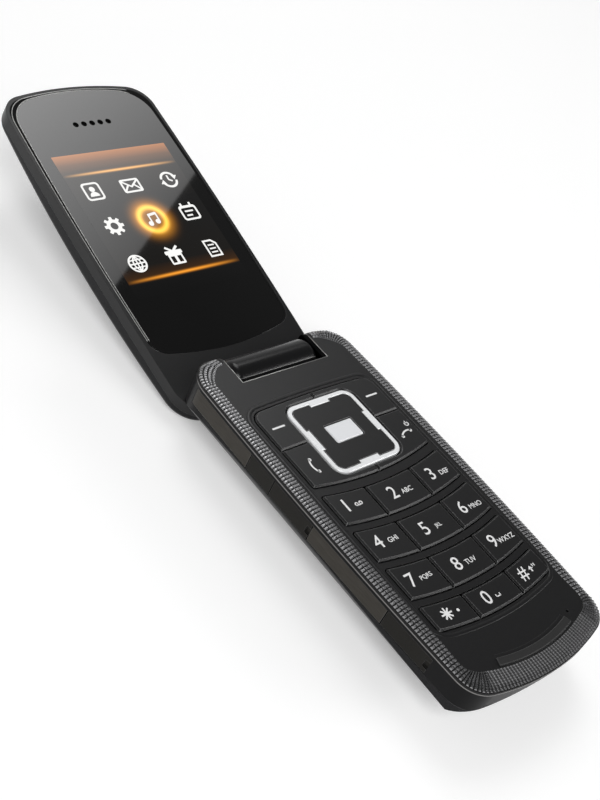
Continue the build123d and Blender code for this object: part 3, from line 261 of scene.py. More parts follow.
def make_floor():
    """A pale floor that the eye and every mirror see as white, and that keeps the phone's shadow."""
    bpy.ops.mesh.primitive_plane_add(size=FLOOR_SIZE, location=(0, 0, FLOOR_Z * MM))
    floor = bpy.context.object
    floor.name = "floor"
    material = plain("floor_pale", (0.8, 0.8, 0.8), 0.9, specular=0.0)
    tree = material.node_tree
    shader = tree.nodes["Principled BSDF"]
    shader.inputs["Emission Color"].default_value = (1, 1, 1, 1)
    rays = tree.nodes.new("ShaderNodeLightPath")
    seen = rays.outputs["Is Camera Ray"]
    for kind in ("Is Glossy Ray", "Is Transmission Ray"):
        seen = add_math(tree, "MAXIMUM", seen, rays.outputs[kind])
    tree.links.new(add_math(tree, "MULTIPLY", seen, FLOOR_GLOW), shader.inputs["Emission Strength"])
    floor.data.materials.append(material)


def make_stage():
    make_world()
    make_floor()
    key_lamp()
    for name, place, target, size, power in SOFT_LIGHTS:
        area_lamp(name, facing(place, target), size, power)


# -------------------- materials
COAT_ROUGH = 0.05
NOISE_DETAIL = 2.0
TONE_SPAN = (0.3, 0.7)      # where in the noise the darkest and the palest tone lie
ROUGH_SPAN = (0.88, 1.12)   # how the noise changes the roughness
BEVEL_SAMPLES = 6
WEAR_SPAN = (0.97, 0.80)    # cosine between rounded and true normal where wear starts and is full
SOFT_TOUCH = ((0.008, 0.008, 0.0084), 0.36, 0.12, 0.004, 0.30)
# colour of the base's walls below the grip band: painted shade, darker than the face of the same housing
WALL_SHADE_COLOR = (0.014, 0.014, 0.0145)
LENS_ROUGH, LENS_SPECULAR = 0.035, 0.75


def plain(name, color, roughness, metallic=0.0, coat=0.0, specular=0.5):
    """A Principled material with constant values on its own sockets."""
    material = bpy.data.materials.new(name)
    material.use_nodes = True
    inputs = material.node_tree.nodes["Principled BSDF"].inputs
    for quality, value in (
        ("Base Color", (*color, 1)), ("Roughness", roughness), ("Metallic", metallic),
        ("Coat Weight", coat), ("Coat Roughness", COAT_ROUGH), ("Specular IOR Level", specular),
    ):
        inputs[quality].default_value = value
    return material


def grained(name, color, roughness, grain, depth, spread, edge=0.0, wear=0.0, stretch=(1, 1, 1), **finish):
    """A finish with moulded or painted grain: bump, a little change of tone, and rounded, worn edges.

    grain is the size of the grain in mm, depth its height in mm, spread the change of tone, edge the
    rounding radius in mm and wear how much paler the edges are.
    """
    material = plain(name, color, roughness, **finish)
    tree = material.node_tree
    shader = tree.nodes["Principled BSDF"]
    mapping = tree.nodes.new("ShaderNodeMapping")
    mapping.inputs["Scale"].default_value = stretch
    tree.links.new(object_place(tree), mapping.inputs["Vector"])
    noise = tree.nodes.new("ShaderNodeTexNoise")
    noise.inputs["Scale"].default_value = 1 / (grain * MM)
    noise.inputs["Detail"].default_value = NOISE_DETAIL
    tree.links.new(mapping.outputs["Vector"], noise.inputs["Vector"])
    amount = noise.outputs["Fac"]
    bump = tree.nodes.new("ShaderNodeBump")
    bump.inputs["Strength"].default_value = 1.0
    bump.inputs["Distance"].default_value = depth * MM
    tree.links.new(amount, bump.inputs["Height"])
    tree.links.new(bump.outputs["Normal"], shader.inputs["Normal"])
    tones = [[c * (1 + change) for c in color] for change in (-spread, spread)]
    tone = color_ramp(tree, amount, list(zip(TONE_SPAN, tones)))
    rough = map_range(tree, amount, (0, 1), [roughness * share for share in ROUGH_SPAN])
    tree.links.new(rough, shader.inputs["Roughness"])
    if edge:
        bevel = tree.nodes.new("ShaderNodeBevel")
        bevel.samples = BEVEL_SAMPLES
        bevel.inputs["Radius"].default_value = edge * MM
        tree.links.new(bevel.outputs["Normal"], bump.inputs["Normal"])
        if wear:
            true_normal = tree.nodes.new("ShaderNodeNewGeometry").outputs["Normal"]
            lean = vector_math(tree, "DOT_PRODUCT", bevel.outputs["Normal"], true_normal)
            rubbed = map_range(tree, lean, WEAR_SPAN, (0, 1))
            tone = mix_colors(tree, rubbed, tone, [min(1.0, c + wear) for c in color])
    tree.links.new(tone, shader.inputs["Base Color"])
    return material


def blend_finish(material, mask, color=None, roughness=None, metallic=None):
    """Change a finish where a mask is 1."""
    tree = material.node_tree
    inputs = tree.nodes["Principled BSDF"].inputs
    for name, value in (("Roughness", roughness), ("Metallic", metallic)):
        if value is None:
            continue
        socket = inputs[name]
        mix = tree.nodes.new("ShaderNodeMix")
        now = socket.links[0].from_socket if socket.links else socket.default_value
        set_or_link(tree, mix.inputs[2], now)
        mix.inputs[3].default_value = value
        tree.links.new(mask, mix.inputs[0])
        tree.links.new(mix.outputs[0], socket)
    if color:
        base = inputs["Base Color"]
        tree.links.new(mix_colors(tree, mask, base.links[0].from_socket, color), base)


def barrel_material():
    """The lid's inner housing: soft-touch paint, with a gloss sleeve round the barrel of the hinge, a painted
    highlight line along the barrel and painted shade below it, where it sits in its slot.
    """
    material = grained("lid_inner", *SOFT_TOUCH, edge=0.15, wear=0.03, specular=0.3)
    tree = material.node_tree
    x, y, z = separate(tree, object_place(tree))
    back = add_math(tree, "SUBTRACT", y, HINGE.y * MM)
    rise = add_math(tree, "SUBTRACT", z, HINGE.z * MM)
    squares = add_math(tree, "ADD", squared(tree, back), squared(tree, rise))
    near = add_math(tree, "LESS_THAN", squares, (BARREL_RADIUS * MM) ** 2)
    inside = add_math(tree, "LESS_THAN", add_math(tree, "ABSOLUTE", x), BARREL_HALF * MM)
    barrel = add_math(tree, "MULTIPLY", near, inside)
    blend_finish(material, barrel, roughness=0.22)
    # painted highlight: a pale band on the barrel just above the line where its slot begins
    slope = add_math(tree, "ADD", rise, add_math(tree, "MULTIPLY", back, BARREL_SHADE_LINE_SLOPE))
    highlight_line = add_math(tree, "MULTIPLY", barrel, add_math(tree, "LESS_THAN", slope, BARREL_HIGHLIGHT_BAND * MM))
    blend_finish(material, highlight_line, color=(0.16, 0.16, 0.16))
    # painted shade: near-black and rough below that line, where the barrel lies in the dark slot
    slot_shade = add_math(tree, "MULTIPLY", barrel, add_math(tree, "LESS_THAN", slope, 0.0))
    blend_finish(material, slot_shade, color=(0.001, 0.001, 0.001), roughness=0.9)
    return material


def below(material, height):
    """A mask that is 1 below a height in mm."""
    tree = material.node_tree
    return add_math(tree, "LESS_THAN", separate(tree, object_place(tree))[2], height * MM)


def face_material():
    """The base's front housing: soft-touch face, and walls below the grip band with a metallic finish whose
    colour is painted darker as shade.
    """
    material = grained("soft_touch_black", *SOFT_TOUCH, edge=0.15, wear=0.03, specular=0.35)
    # painted shade: the walls below the band get the darker colour
    blend_finish(material, below(material, BAND_FOOT), color=WALL_SHADE_COLOR, metallic=1.0)
    return material


def band_material():
    """The grip band: dull black between the studs, with its lower edge painted pale metal as a highlight
    line.
    """
    material = grained("grip_black", (0.006, 0.006, 0.006), 0.55, 0.2, 0.003, 0.2, specular=0.2)
    # painted highlight: a pale metal line along the band's lower edge
    edge = below(material, BAND_HIGHLIGHT_TOP)
    blend_finish(material, edge, color=(0.22, 0.215, 0.21), roughness=0.3, metallic=1.0)
    return material


def glow(name, color, strength):
    """A lit part of the display."""
    material = plain(name, (0, 0, 0), 0.5)
    shader = material.node_tree.nodes["Principled BSDF"]
    shader.inputs["Emission Color"].default_value = (*color, 1)
    shader.inputs["Emission Strength"].default_value = strength
    return material


PICTURE_GROUND = (          # share of the picture's height, colour
    (0.0, (0.001, 0.001, 0.001)), (0.098, (0.002, 0.002, 0.002)), (0.105, (0.05, 0.018, 0.002)),
    (0.20, (0.006, 0.005, 0.004)), (0.60, (0.006, 0.006, 0.006)), (0.845, (0.014, 0.011, 0.009)),
    (0.870, (0.04, 0.028, 0.020)), (0.93, (0.14, 0.065, 0.030)), (1.0, (0.46, 0.17, 0.05)),
)
PICTURE_LINES = (           # share of the picture's height, thickness as such a share, colour
    (0.113, 0.009, (1.0, 0.36, 0.03)), (0.857, 0.008, (1.0, 0.50, 0.14)),
)
PICTURE_RINGS = (           # radius, width, colour
    (3.7, 0.75, (1.0, 0.62, 0.10)), (4.0, 1.9, (0.45, 0.17, 0.008)), (0.0, 3.6, (0.25, 0.11, 0.02)),
)


def picture_material():
    """The lit picture: dark ground, a title bar, two glowing lines and a glow round the middle icon."""
    material = plain("display_picture", (0.002, 0.002, 0.002), LENS_ROUGH, specular=LENS_SPECULAR)
    tree = material.node_tree
    shader = tree.nodes["Principled BSDF"]

    def glow_at(distance, width):
        """Light that is full where a distance is 0 and fades over a width."""
        away = squared(tree, add_math(tree, "DIVIDE", distance, width))
        return add_math(tree, "EXPONENT", add_math(tree, "MULTIPLY", away, -1.0))

    place = object_place(tree)
    across = add_math(tree, "ABSOLUTE", separate(tree, place)[0])
    along = vector_math(tree, "DOT_PRODUCT", vector_math(tree, "SUBTRACT", place, HINGE * MM), lid_along)
    start = add_math(tree, "SUBTRACT", along, SCREEN_START * MM)
    up = add_math(tree, "DIVIDE", start, SCREEN_LENGTH * MM)
    light = color_ramp(tree, up, PICTURE_GROUND)
    aside = add_math(tree, "DIVIDE", across, SCREEN_WIDTH / 2 * MM)
    fade = add_math(tree, "SUBTRACT", 1.0, squared(tree, aside))
    for height, thickness, color in PICTURE_LINES:
        near = glow_at(add_math(tree, "SUBTRACT", up, height), thickness)
        light = mix_colors(tree, add_math(tree, "MULTIPLY", near, fade), light, color, "ADD")
    high = add_math(tree, "SUBTRACT", along, ICON_ROWS[1] * MM)
    reach = add_math(tree, "SQRT", add_math(tree, "ADD", squared(tree, across), squared(tree, high)))
    for radius, width, color in PICTURE_RINGS:
        near = glow_at(add_math(tree, "SUBTRACT", reach, radius * MM), width * MM)
        light = mix_colors(tree, near, light, color, "ADD")
    tree.links.new(light, shader.inputs["Emission Color"])
    shader.inputs["Emission Strength"].default_value = 1.0
    return material


def make_materials():
    return {
        "soft_touch_black": face_material(),
        "key_black": grained(
            "key_black", (0.009, 0.009, 0.0094), 0.33, 0.15, 0.003, 0.2, edge=0.24, wear=0.36, specular=0.38),
        "lid_inner": barrel_material(),
        "grip_black": band_material(),
        "strip_grey": grained(
            "strip_grey", (0.052, 0.048, 0.042), 0.34, 0.25, 0.003, 0.12, edge=0.2, wear=0.12,
            stretch=(1, 0.08, 1), metallic=1.0),
        "cover_dark": grained(
            "cover_dark", (0.022, 0.021, 0.019), 0.42, 0.2, 0.005, 0.2, edge=0.2, wear=0.08, metallic=1.0),
        "back_black": grained(
            "back_black", (0.022, 0.022, 0.023), 0.36, 0.3, 0.006, 0.25, edge=0.15, wear=0.05, metallic=1.0),
        "lens_black": grained(
            "lens_gloss", (0.003, 0.003, 0.003), LENS_ROUGH, 0.3, 0.0, 0.2, edge=0.12,
            specular=LENS_SPECULAR),
        "clear_window": grained(
            "window_black", (0.004, 0.004, 0.005), 0.14, 0.3, 0.0, 0.2, edge=0.12, specular=0.3),
        "screen": grained("screen_panel", (0.01, 0.01, 0.011), 0.3, 0.3, 0.001, 0.1),
        "ring_white": grained("ring_white", (0.86, 0.87, 0.88), 0.25, 0.4, 0.002, 0.03, edge=0.1, coat=0.3),
        "ok_silver": grained("ok_silver", (0.80, 0.81, 0.83), 0.35, 0.12, 0.003, 0.05, edge=0.12, coat=0.2),
        "rubber_black": grained(
            "rubber_black", (0.018, 0.018, 0.018), 0.5, 0.15, 0.005, 0.2, edge=0.15, wear=0.05,
            specular=0.35),
        "mat_grey": grained("mat_grey", (0.45, 0.46, 0.47), 0.5, 0.3, 0.004, 0.05),
        "board_green": grained("board_green", (0.02, 0.13, 0.06), 0.35, 0.4, 0.004, 0.25),
        "steel": grained("steel", (0.6, 0.6, 0.58), 0.3, 0.2, 0.003, 0.06, edge=0.1, metallic=1.0),
        "gold_contacts": grained("gold_contacts", (0.8, 0.58, 0.22), 0.28, 0.25, 0.002, 0.05, metallic=1.0),
        "battery_grey": grained(
            "battery_grey", (0.16, 0.165, 0.18), 0.5, 0.3, 0.003, 0.08, edge=0.15, wear=0.05),
        "antenna_cream": grained("antenna_cream", (0.62, 0.58, 0.48), 0.5, 0.3, 0.003, 0.06),
        "part_black": grained("part_black", (0.03, 0.03, 0.033), 0.45, 0.25, 0.003, 0.2),
        "knurl_black": grained("knurl_black", (0.30, 0.30, 0.305), 0.24, 0.2, 0.002, 0.15, metallic=0.9),
        # painted highlight: pale metal for the light lines along edges
        "painted_edge_highlight": grained("painted_edge_highlight", (0.42, 0.42, 0.41), 0.42, 0.3, 0.001, 0.1, metallic=1.0),
        # painted shade: near-black and dull, for gaps and holes
        "gap_shade_black": grained("gap_shade_black", (0.003, 0.003, 0.003), 0.7, 0.3, 0.001, 0.2, specular=0.1),
        "camera_grey": grained("camera_grey", (0.10, 0.10, 0.105), 0.35, 0.2, 0.001, 0.1, metallic=1.0),
        "legend_white": grained("legend_white", (0.82, 0.82, 0.82), 0.4, 0.1, 0.001, 0.03),
        "picture": picture_material(),
        "icon_white": glow("icon_white", (0.95, 0.95, 0.93), 1.0),
        "iris_blue": grained("iris_blue", (0.008, 0.012, 0.03), 0.16, 0.3, 0.001, 0.3, specular=0.3),
    }


def dress_nodes():
    """Give every CAD node the material of its slot."""
    for part in frame["record"]["subparts"]:
        node = nodes[part["node"]]
        node.data.materials.clear()
        node.data.materials.append(materials[part["material_slot"]])
    nodes["lid_front"].data.materials[0] = materials["lid_inner"]


# -------------------- mesh tools
WELD_REACH = 1e-7           # in metres


def write_mesh(shape, mesh):
    """Turn the faces of a bmesh outwards, write it to a mesh and free it."""
    bmesh.ops.recalc_face_normals(shape, faces=shape.faces)
    shape.to_mesh(mesh)
    shape.free()
    return mesh


def add_piece(name, mesh, body, material, smooth=False):
    """Make an object of a finished mesh, give it its finish and let it ride on its body."""
    piece = bpy.data.objects.new(name, mesh)
    bpy.context.scene.collection.objects.link(piece)
    mesh.materials.clear()
    mesh.materials.append(materials[material])
    for face in mesh.polygons:
        face.use_smooth = smooth
    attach(piece, body)
    return piece


def curve_mesh(data, place):
    """Mesh of a filled flat curve or text, welded shut and put in place."""
    holder = bpy.data.objects.new("holder", data)
    bpy.context.scene.collection.objects.link(holder)
    bpy.context.view_layer.update()
    found = holder.evaluated_get(bpy.context.evaluated_depsgraph_get())
    mesh = bpy.data.meshes.new_from_object(found)
    bpy.data.objects.remove(holder)
    bpy.data.curves.remove(data)
    shape = bmesh.new()
    shape.from_mesh(mesh)
    bmesh.ops.remove_doubles(shape, verts=shape.verts, dist=WELD_REACH)
    write_mesh(shape, mesh)
    mesh.transform(place)
    return mesh


def plate(loops, low, high, place=None):
    """A flat plate between two heights. The loops are closed outlines in mm, and inner ones are holes."""
    data = bpy.data.curves.new("plate", "CURVE")
    data.dimensions = "2D"
    data.fill_mode = "BOTH"
    data.extrude = (high - low) / 2 * MM
    for loop in loops:
        spline = data.splines.new("POLY")
        spline.points.add(len(loop) - 1)
        for point, (x, y) in zip(spline.points, loop):
            point.co = (x * MM, y * MM, 0, 1)
        spline.use_cyclic_u = True
    lift = Matrix.Translation((0, 0, (low + high) / 2 * MM))
    return curve_mesh(data, (place or Matrix()) @ lift)


def text_plate(text, height, at, weight):
    """A figure or a few letters in Blender's own font, of a given height, centred on a point of the keys."""
    data = bpy.data.curves.new("text", "FONT")
    data.body = text
    data.align_x = "CENTER"
    data.size = 1.0
    data.offset = weight
    data.resolution_u = 4
    mesh = curve_mesh(data, Matrix())
    xs = [v.co.x for v in mesh.vertices]
    ys = [v.co.y for v in mesh.vertices]
    scale = height * MM / (max(ys) - min(ys))
    middle = Vector(((max(xs) + min(xs)) / 2, (max(ys) + min(ys)) / 2, 0))
    lift = Matrix.Translation((at[0] * MM, at[1] * MM, LEGEND_LOW * MM))
    mesh.transform(lift @ Matrix.Scale(scale, 4) @ Matrix.Translation(-middle))
    shape = bmesh.new()
    shape.from_mesh(mesh)
    raised = bmesh.ops.extrude_face_region(shape, geom=shape.faces[:])
    top = [v for v in raised["geom"] if isinstance(v, bmesh.types.BMVert)]
    bmesh.ops.translate(shape, verts=top, vec=(0, 0, (LEGEND_HIGH - LEGEND_LOW) * MM))
    return write_mesh(shape, mesh)


def joined(meshes):
    """One mesh made of several."""
    shape = bmesh.new()
    for mesh in meshes:
        shape.from_mesh(mesh)
        bpy.data.meshes.remove(mesh)
    result = bpy.data.meshes.new("joined")
    shape.to_mesh(result)
    shape.free()
    return result


def circle(at, radius, sides=32):
    return arc(at, radius, 0, 360, sides + 1)[:-1]


def arc(at, radius, start, end, count=9):
    """Points along an arc, angles in degrees."""
    angles = [math.radians(start + (end - start) * i / (count - 1)) for i in range(count)]
    return [(at[0] + radius * math.cos(a), at[1] + radius * math.sin(a)) for a in angles]


def band(at, inner, outer, start, end, count=17):
    """A thick arc."""
    return arc(at, outer, start, end, count) + arc(at, inner, end, start, count)


def bar(start, end, thickness):
    """A straight stroke."""
    along = (Vector(end) - Vector(start)).normalized() * thickness / 2
    side = Vector((-along.y, along.x))
    a, b = Vector(start) - along * 0.4, Vector(end) + along * 0.4
    return [tuple(a + side), tuple(a - side), tuple(b - side), tuple(b + side)]


def round_box(at, width, height, radius):
    """A rectangle with round corners."""
    points = []
    for turn, (sx, sy) in enumerate(((1, 1), (-1, 1), (-1, -1), (1, -1))):
        corner = (at[0] + sx * (width / 2 - radius), at[1] + sy * (height / 2 - radius))
        points += arc(corner, radius, turn * 90, turn * 90 + 90, 6)
    return points


def through(a, b, c):
    """Centre and radius of the circle through three points."""
    (ax, ay), (bx, by), (cx, cy) = a, b, c
    d = 2 * (ax * (by - cy) + bx * (cy - ay) + cx * (ay - by))
    ux = ((ax**2 + ay**2) * (by - cy) + (bx**2 + by**2) * (cy - ay) + (cx**2 + cy**2) * (ay - by)) / d
    uy = ((ax**2 + ay**2) * (cx - bx) + (bx**2 + by**2) * (ax - cx) + (cx**2 + cy**2) * (bx - ax)) / d
    return (ux, uy), math.hypot(ax - ux, ay - uy)


def oval(half, low_side, low, high_side, high, corners):
    """An outline of four arcs with round corners, as the drawing has it, as points anticlockwise.

    half is (low, widest, high) half-width; corners is the (low, high) corner radius.
    """
    y_mid = (low_side + high_side) / 2
    right = through((half[0], low_side), (half[1], y_mid), (half[2], high_side))
    top = through((-half[2], high_side), (0, high), (half[2], high_side))
    bottom = through((-half[0], low_side), (0, low), (half[0], low_side))

    def corner(end_arc, radius):
        """Centre of a corner circle that touches the right side and an end arc from inside."""
        (x0, y0), r0 = right[0], right[1] - radius
        (x1, y1), r1 = end_arc[0], end_arc[1] - radius
        d = math.hypot(x1 - x0, y1 - y0)
        a = (r0**2 - r1**2 + d**2) / (2 * d)
        h = math.sqrt(r0**2 - a**2)
        mx, my = x0 + a * (x1 - x0) / d, y0 + a * (y1 - y0) / d
        spots = [
            (mx + h * (y1 - y0) / d, my - h * (x1 - x0) / d),
            (mx - h * (y1 - y0) / d, my + h * (x1 - x0) / d),
        ]
        return max(spots, key=lambda spot: spot[0])

    def heading(centre, spot):
        return math.degrees(math.atan2(spot[1] - centre[1], spot[0] - centre[0]))

    low_corner, high_corner = corner(bottom, corners[0]), corner(top, corners[1])
    side_from = heading(right[0], low_corner)
    side_to = heading(right[0], high_corner)
    top_from = heading(top[0], high_corner)
    low_to = heading(bottom[0], low_corner)
    points = arc(right[0], right[1], side_from, side_to, 40)
    points += arc(high_corner, corners[1], side_to, top_from, 14)[1:]
    half_top = arc(top[0], top[1], top_from, 90, 16)[1:]
    half_low = arc(bottom[0], bottom[1], -90, low_to, 16)
    low_turn = arc(low_corner, corners[0], low_to, side_from, 14)[1:-1]
    right_half = half_low + low_turn + points + half_top
    return right_half + [(-x, y) for x, y in reversed(right_half[1:-1])]


# -------------------- knurl of the grip band
RIB_PITCH = 0.90            # along the band's outer edge
ROW_PITCH = 0.88            # across the band
KNURL_HEIGHT = 0.30
BAND_MARGIN = 0.12
RIB_SHARE = 0.84            # of the pitch that a stud's foot takes up
TOP_ALONG = 0.42            # share of the foot that is flat on top
WIDE_BAND = 3.4             # where the band is wider than this, its ribs are cut finely
FINE_ROW_PITCH = 0.55
FINE_SHARES, COARSE_SHARES = (0.96, 0.86), (0.88, 0.55)     # of a row: the foot, and of the foot: the top
STUD_SINK = 0.06
STUD_CORNERS = ((-1, -1), (1, -1), (1, 1), (-1, 1))
SIDE_REACH, CORNER_REACH = 0.45, 0.85       # how far the studs reach over the face beside the band
SIDE_FROM, SIDE_FULL = -40.0, -34.0         # where along the base that reach begins, and is full
FACE_OUTLINE = ((22.6, 23.9, 23.2), -45.6, -49.5, 48.2, 50.2, (7.0, 8.0))
BAND_DEPTH = 0.7            # how far below the keypad's face the band may lie
BAND_STEP, BAND_STEPS = 0.05, 160           # how the band is looked for, inwards from the outline
BAND_START, BAND_LEAST = 2.5, 1.0           # it starts before this, and is at least so wide


def even_steps(points, pitch):
    """Points at even steps along an open line, with the direction of the line at each."""
    steps, walked, goal = [], 0.0, pitch / 2
    for a, b in zip(points, points[1:]):
        a, b = Vector(a), Vector(b)
        length = (b - a).length
        while goal <= walked + length:
            steps.append((a.lerp(b, (goal - walked) / length), (b - a).normalized()))
            goal += pitch
        walked += length
    return steps


def make_knurl():
    """Rows of small studs on the grip band, finer where the band turns its corners."""
    surface = nodes["grip_band"]
    tree = BVHTree.FromPolygons(
        [v.co for v in surface.data.vertices], [list(p.vertices) for p in surface.data.polygons]
    )

    def height_at(spot):
        """Height of the band's face at a place in mm, or None beside it."""
        hit = tree.ray_cast(Vector((spot.x * MM, spot.y * MM, 0.02)), Vector((0, 0, -1)))[0]
        if hit is None or hit.z / MM < KEYPAD_FACE - BAND_DEPTH:
            return None
        return hit.z / MM

    def band_at(spot, inward):
        """Where the band starts and ends along a line from the outline inwards."""
        first = last = None
        for step in range(BAND_STEPS):
            along = step * BAND_STEP
            if height_at(spot + inward * along) is None:
                if first is not None:
                    break
            else:
                first = along if first is None else first
                last = along
        return first, last

    outline = oval(*FACE_OUTLINE)
    start = max(range(len(outline)), key=lambda i: outline[i][1])
    line = outline[start:] + outline[:start + 1]
    columns = []
    for spot, way in even_steps(line, RIB_PITCH):
        inward = Vector((-way.y, way.x))
        first, last = band_at(spot, inward)
        if first is not None and first < BAND_START and last - first > BAND_LEAST:
            share = min(1.0, max(0.0, (spot.y - SIDE_FROM) / (SIDE_FULL - SIDE_FROM)))
            reach = share * (SIDE_REACH + CORNER_REACH * abs(2 * way.x * way.y))
            width = last - first - 2 * BAND_MARGIN + reach
            columns.append((spot + inward * (first + BAND_MARGIN), inward, width))
    shape = bmesh.new()
    for (spot, inward, width), (next_spot, next_inward, next_width) in zip(columns, columns[1:]):
        if (next_spot - spot).length > 2 * RIB_PITCH:
            continue
        wide = width > WIDE_BAND and spot.y < SIDE_FROM
        rows = max(3, round(width / (FINE_ROW_PITCH if wide else ROW_PITCH)))
        row_share, top_across = FINE_SHARES if wide else COARSE_SHARES
        for row in range(rows):
            shares = (row / rows, (row + 1) / rows)
            near, far = (spot + inward * width * share for share in shares)
            next_near, next_far = (next_spot + next_inward * next_width * share for share in shares)
            middle = (near + far + next_near + next_far) / 4
            across = ((far - near) + (next_far - next_near)) / 4
            aside = ((next_near - near) + (next_far - far)) / 4
            corners, tops = (
                [middle + across * u * row_share * part_u + aside * v * RIB_SHARE * part_v
                 for u, v in STUD_CORNERS]
                for part_u, part_v in ((1, 1), (top_across, TOP_ALONG))
            )
            levels = [height_at(c) or KEYPAD_FACE for c in corners]
            mean = sum(levels) / 4
            base = [(c.x, c.y, z - STUD_SINK) for c, z in zip(corners, levels)]
            top = [(c.x, c.y, (mean + z) / 2 + KNURL_HEIGHT) for c, z in zip(tops, levels)]
            low, high = ([shape.verts.new(Vector(v) * MM) for v in spots] for spots in (base, top))
            shape.faces.new(high)
            shape.faces.new(low[::-1])
            for i in range(4):
                shape.faces.new((low[i], low[(i + 1) % 4], high[(i + 1) % 4], high[i]))
    mesh = write_mesh(shape, bpy.data.meshes.new("grip_knurl"))
    add_piece("grip_knurl", mesh, "base", "knurl_black")


# -------------------- beads: keypad rim, and painted highlight and shade lines round the lens and along the notch
BEAD_SIDES = 7
BEAD_SINK = 0.04


def bead(points, width, height, level, place=None, closed=True):
    """A low rounded bead along a line of points in mm, standing on a level."""
    shape = bmesh.new()
    rings = []
    count = len(points)
    for index in range(count):
        spots = [index + step for step in (-1, 0, 1)]
        spots = [spot % count if closed else min(max(spot, 0), count - 1) for spot in spots]
        before, here, after = (Vector(points[spot]) for spot in spots)
        way = (after - before).normalized()
        side = Vector((-way.y, way.x))
        angles = [math.pi * step / (BEAD_SIDES - 1) for step in range(BEAD_SIDES)]
        section = [(math.cos(angle), height * math.sin(angle)) for angle in angles]
        section += [(-1, -BEAD_SINK), (1, -BEAD_SINK)]
        ring = []
        for share, rise in section:
            spot = here + side * (width / 2 * share)
            ring.append(shape.verts.new(Vector((spot.x, spot.y, level + rise)) * MM))
        rings.append(ring)
    for a, b in zip(rings, rings[1:] + rings[:1] if closed else rings[1:]):
        for i in range(len(a)):
            j = (i + 1) % len(a)
            shape.faces.new((a[i], a[j], b[j], b[i]))
    if not closed:
        shape.faces.new(rings[0])
        shape.faces.new(rings[-1])
    mesh = write_mesh(shape, bpy.data.meshes.new("bead"))
    if place:
        mesh.transform(place)
    return mesh


def row_y(y_mid, x):
    return y_mid + ROW_RADIUS - math.sqrt(ROW_RADIUS**2 - x**2)


def keypad_outline(grow):
    """Line round all the keys at a distance from them."""
    half = KEYS_HALF + grow
    low, high = KEYS_END - grow, BLOCK_TOP + grow
    return oval(
        (half, half + 0.001, half), row_y(low, half), low, high - BLOCK_FALL, high,
        (LAST_CORNER + grow, BLOCK_CORNER + grow),
    )


def lens_line(grow):
    """Outline of the lens at a distance outside it, in the lid's plane."""
    return oval(
        (LENS_END_HALF + grow, LENS_HALF + grow, LENS_END_HALF + grow),
        LENS_LOW_SIDE - grow, LENS_LOW - grow, LENS_TIP_SIDE + grow, LENS_TIP + grow,
        (LENS_LOW_CORNER + grow, LENS_TIP_CORNER + grow),
    )


def clear_lens():
    """Outline of the part of the lens that is seen clear inside the painted shade round its edge."""
    return oval(
        (LENS_END_HALF - 0.35, LENS_HALF - 0.65, LENS_END_HALF - 1.0),
        LENS_LOW_SIDE + 0.1, LENS_LOW + 0.1, LENS_TIP_SIDE - 0.6, LENS_TIP - 0.35, (LENS_LOW_CORNER, 8.6),
    )


def above(points, level):
    """The run of a closed line that lies above a level, as an open line."""
    count = len(points)
    start = next(i for i in range(count) if points[i][1] >= level > points[i - 1][1])
    turned = points[start:] + points[:start]
    return [p for p in turned if p[1] >= level]


RIM_AWAY, RIM_WIDTH, RIM_HEIGHT = 1.35, 1.1, 0.14
LIT_LINE_END = 17.0         # the painted highlight lines along the lid's rim and the lens's edge run round the tip to here
LIT_LINE_HEIGHT = 0.09
NOTCH_LINE_WIDTH, NOTCH_LINE_HEIGHT = 0.20, 0.05


def make_beads():
    mesh = bead(keypad_outline(RIM_AWAY), RIM_WIDTH, RIM_HEIGHT, KEYPAD_FACE)
    add_piece("keypad_rim", mesh, "base", "soft_touch_black", smooth=True)
    # painted shade: a near-black, dull ring over the gap between the lens and the lid's rim
    gap_shade_plate = plate([lens_line(0.10), clear_lens()], LENS_TOP - 0.03, LENS_TOP + 0.015, LID)
    add_piece("lens_gap_shade", gap_shade_plate, "lid", "gap_shade_black")
    rim = oval(
        (LENS_END_HALF + 0.12, LENS_HALF + 0.05, LENS_END_HALF - 0.1),
        LENS_LOW_SIDE, LENS_LOW, LENS_TIP_SIDE + 0.1, LENS_TIP + 0.1, (LENS_LOW_CORNER, 7.8),
    )
    # painted highlight: pale metal beads along the lid's rim and the lens's edge, only on the side where
    # light falls
    for name, line, width in (("lid_rim_highlight", rim, 0.24), ("lens_edge_highlight", clear_lens(), 0.28)):
        lit = [spot for spot in above(line, LENS_LOW_SIDE + 3) if spot[0] < LIT_LINE_END]
        mesh = bead(lit, width, LIT_LINE_HEIGHT, LENS_TOP, LID, closed=False)
        add_piece(name, mesh, "lid", "painted_edge_highlight", smooth=True)
    # painted highlight: a thin pale metal line along the edges of the hinge's notch
    notch = [
        (-NOTCH_EDGE, NOTCH_END), (-NOTCH_EDGE, NOTCH_Y), (NOTCH_EDGE, NOTCH_Y), (NOTCH_EDGE, NOTCH_END),
    ]
    mesh = joined([
        bead([a, b], NOTCH_LINE_WIDTH, NOTCH_LINE_HEIGHT, KEYPAD_FACE, closed=False)
        for a, b in zip(notch, notch[1:])
    ])
    add_piece("notch_edge_highlight", mesh, "base", "painted_edge_highlight", smooth=True)


def make_ear_sleeves():
    """Near-black sleeves that line the earpiece's holes in the lens, as painted shade inside the holes."""
    meshes = []
    for index in range(EAR_HOLES):
        at = ((index - (EAR_HOLES - 1) / 2) * EAR_PITCH, EAR_AT)
        # painted shade: the sleeves darken the inside of each hole
        meshes.append(plate(
            [circle(at, EAR_RADIUS + 0.06), circle(at, EAR_RADIUS - 0.05)], LENS_BACK, LENS_TOP + 0.01, LID))
    add_piece("ear_sleeves", joined(meshes), "lid", "gap_shade_black")


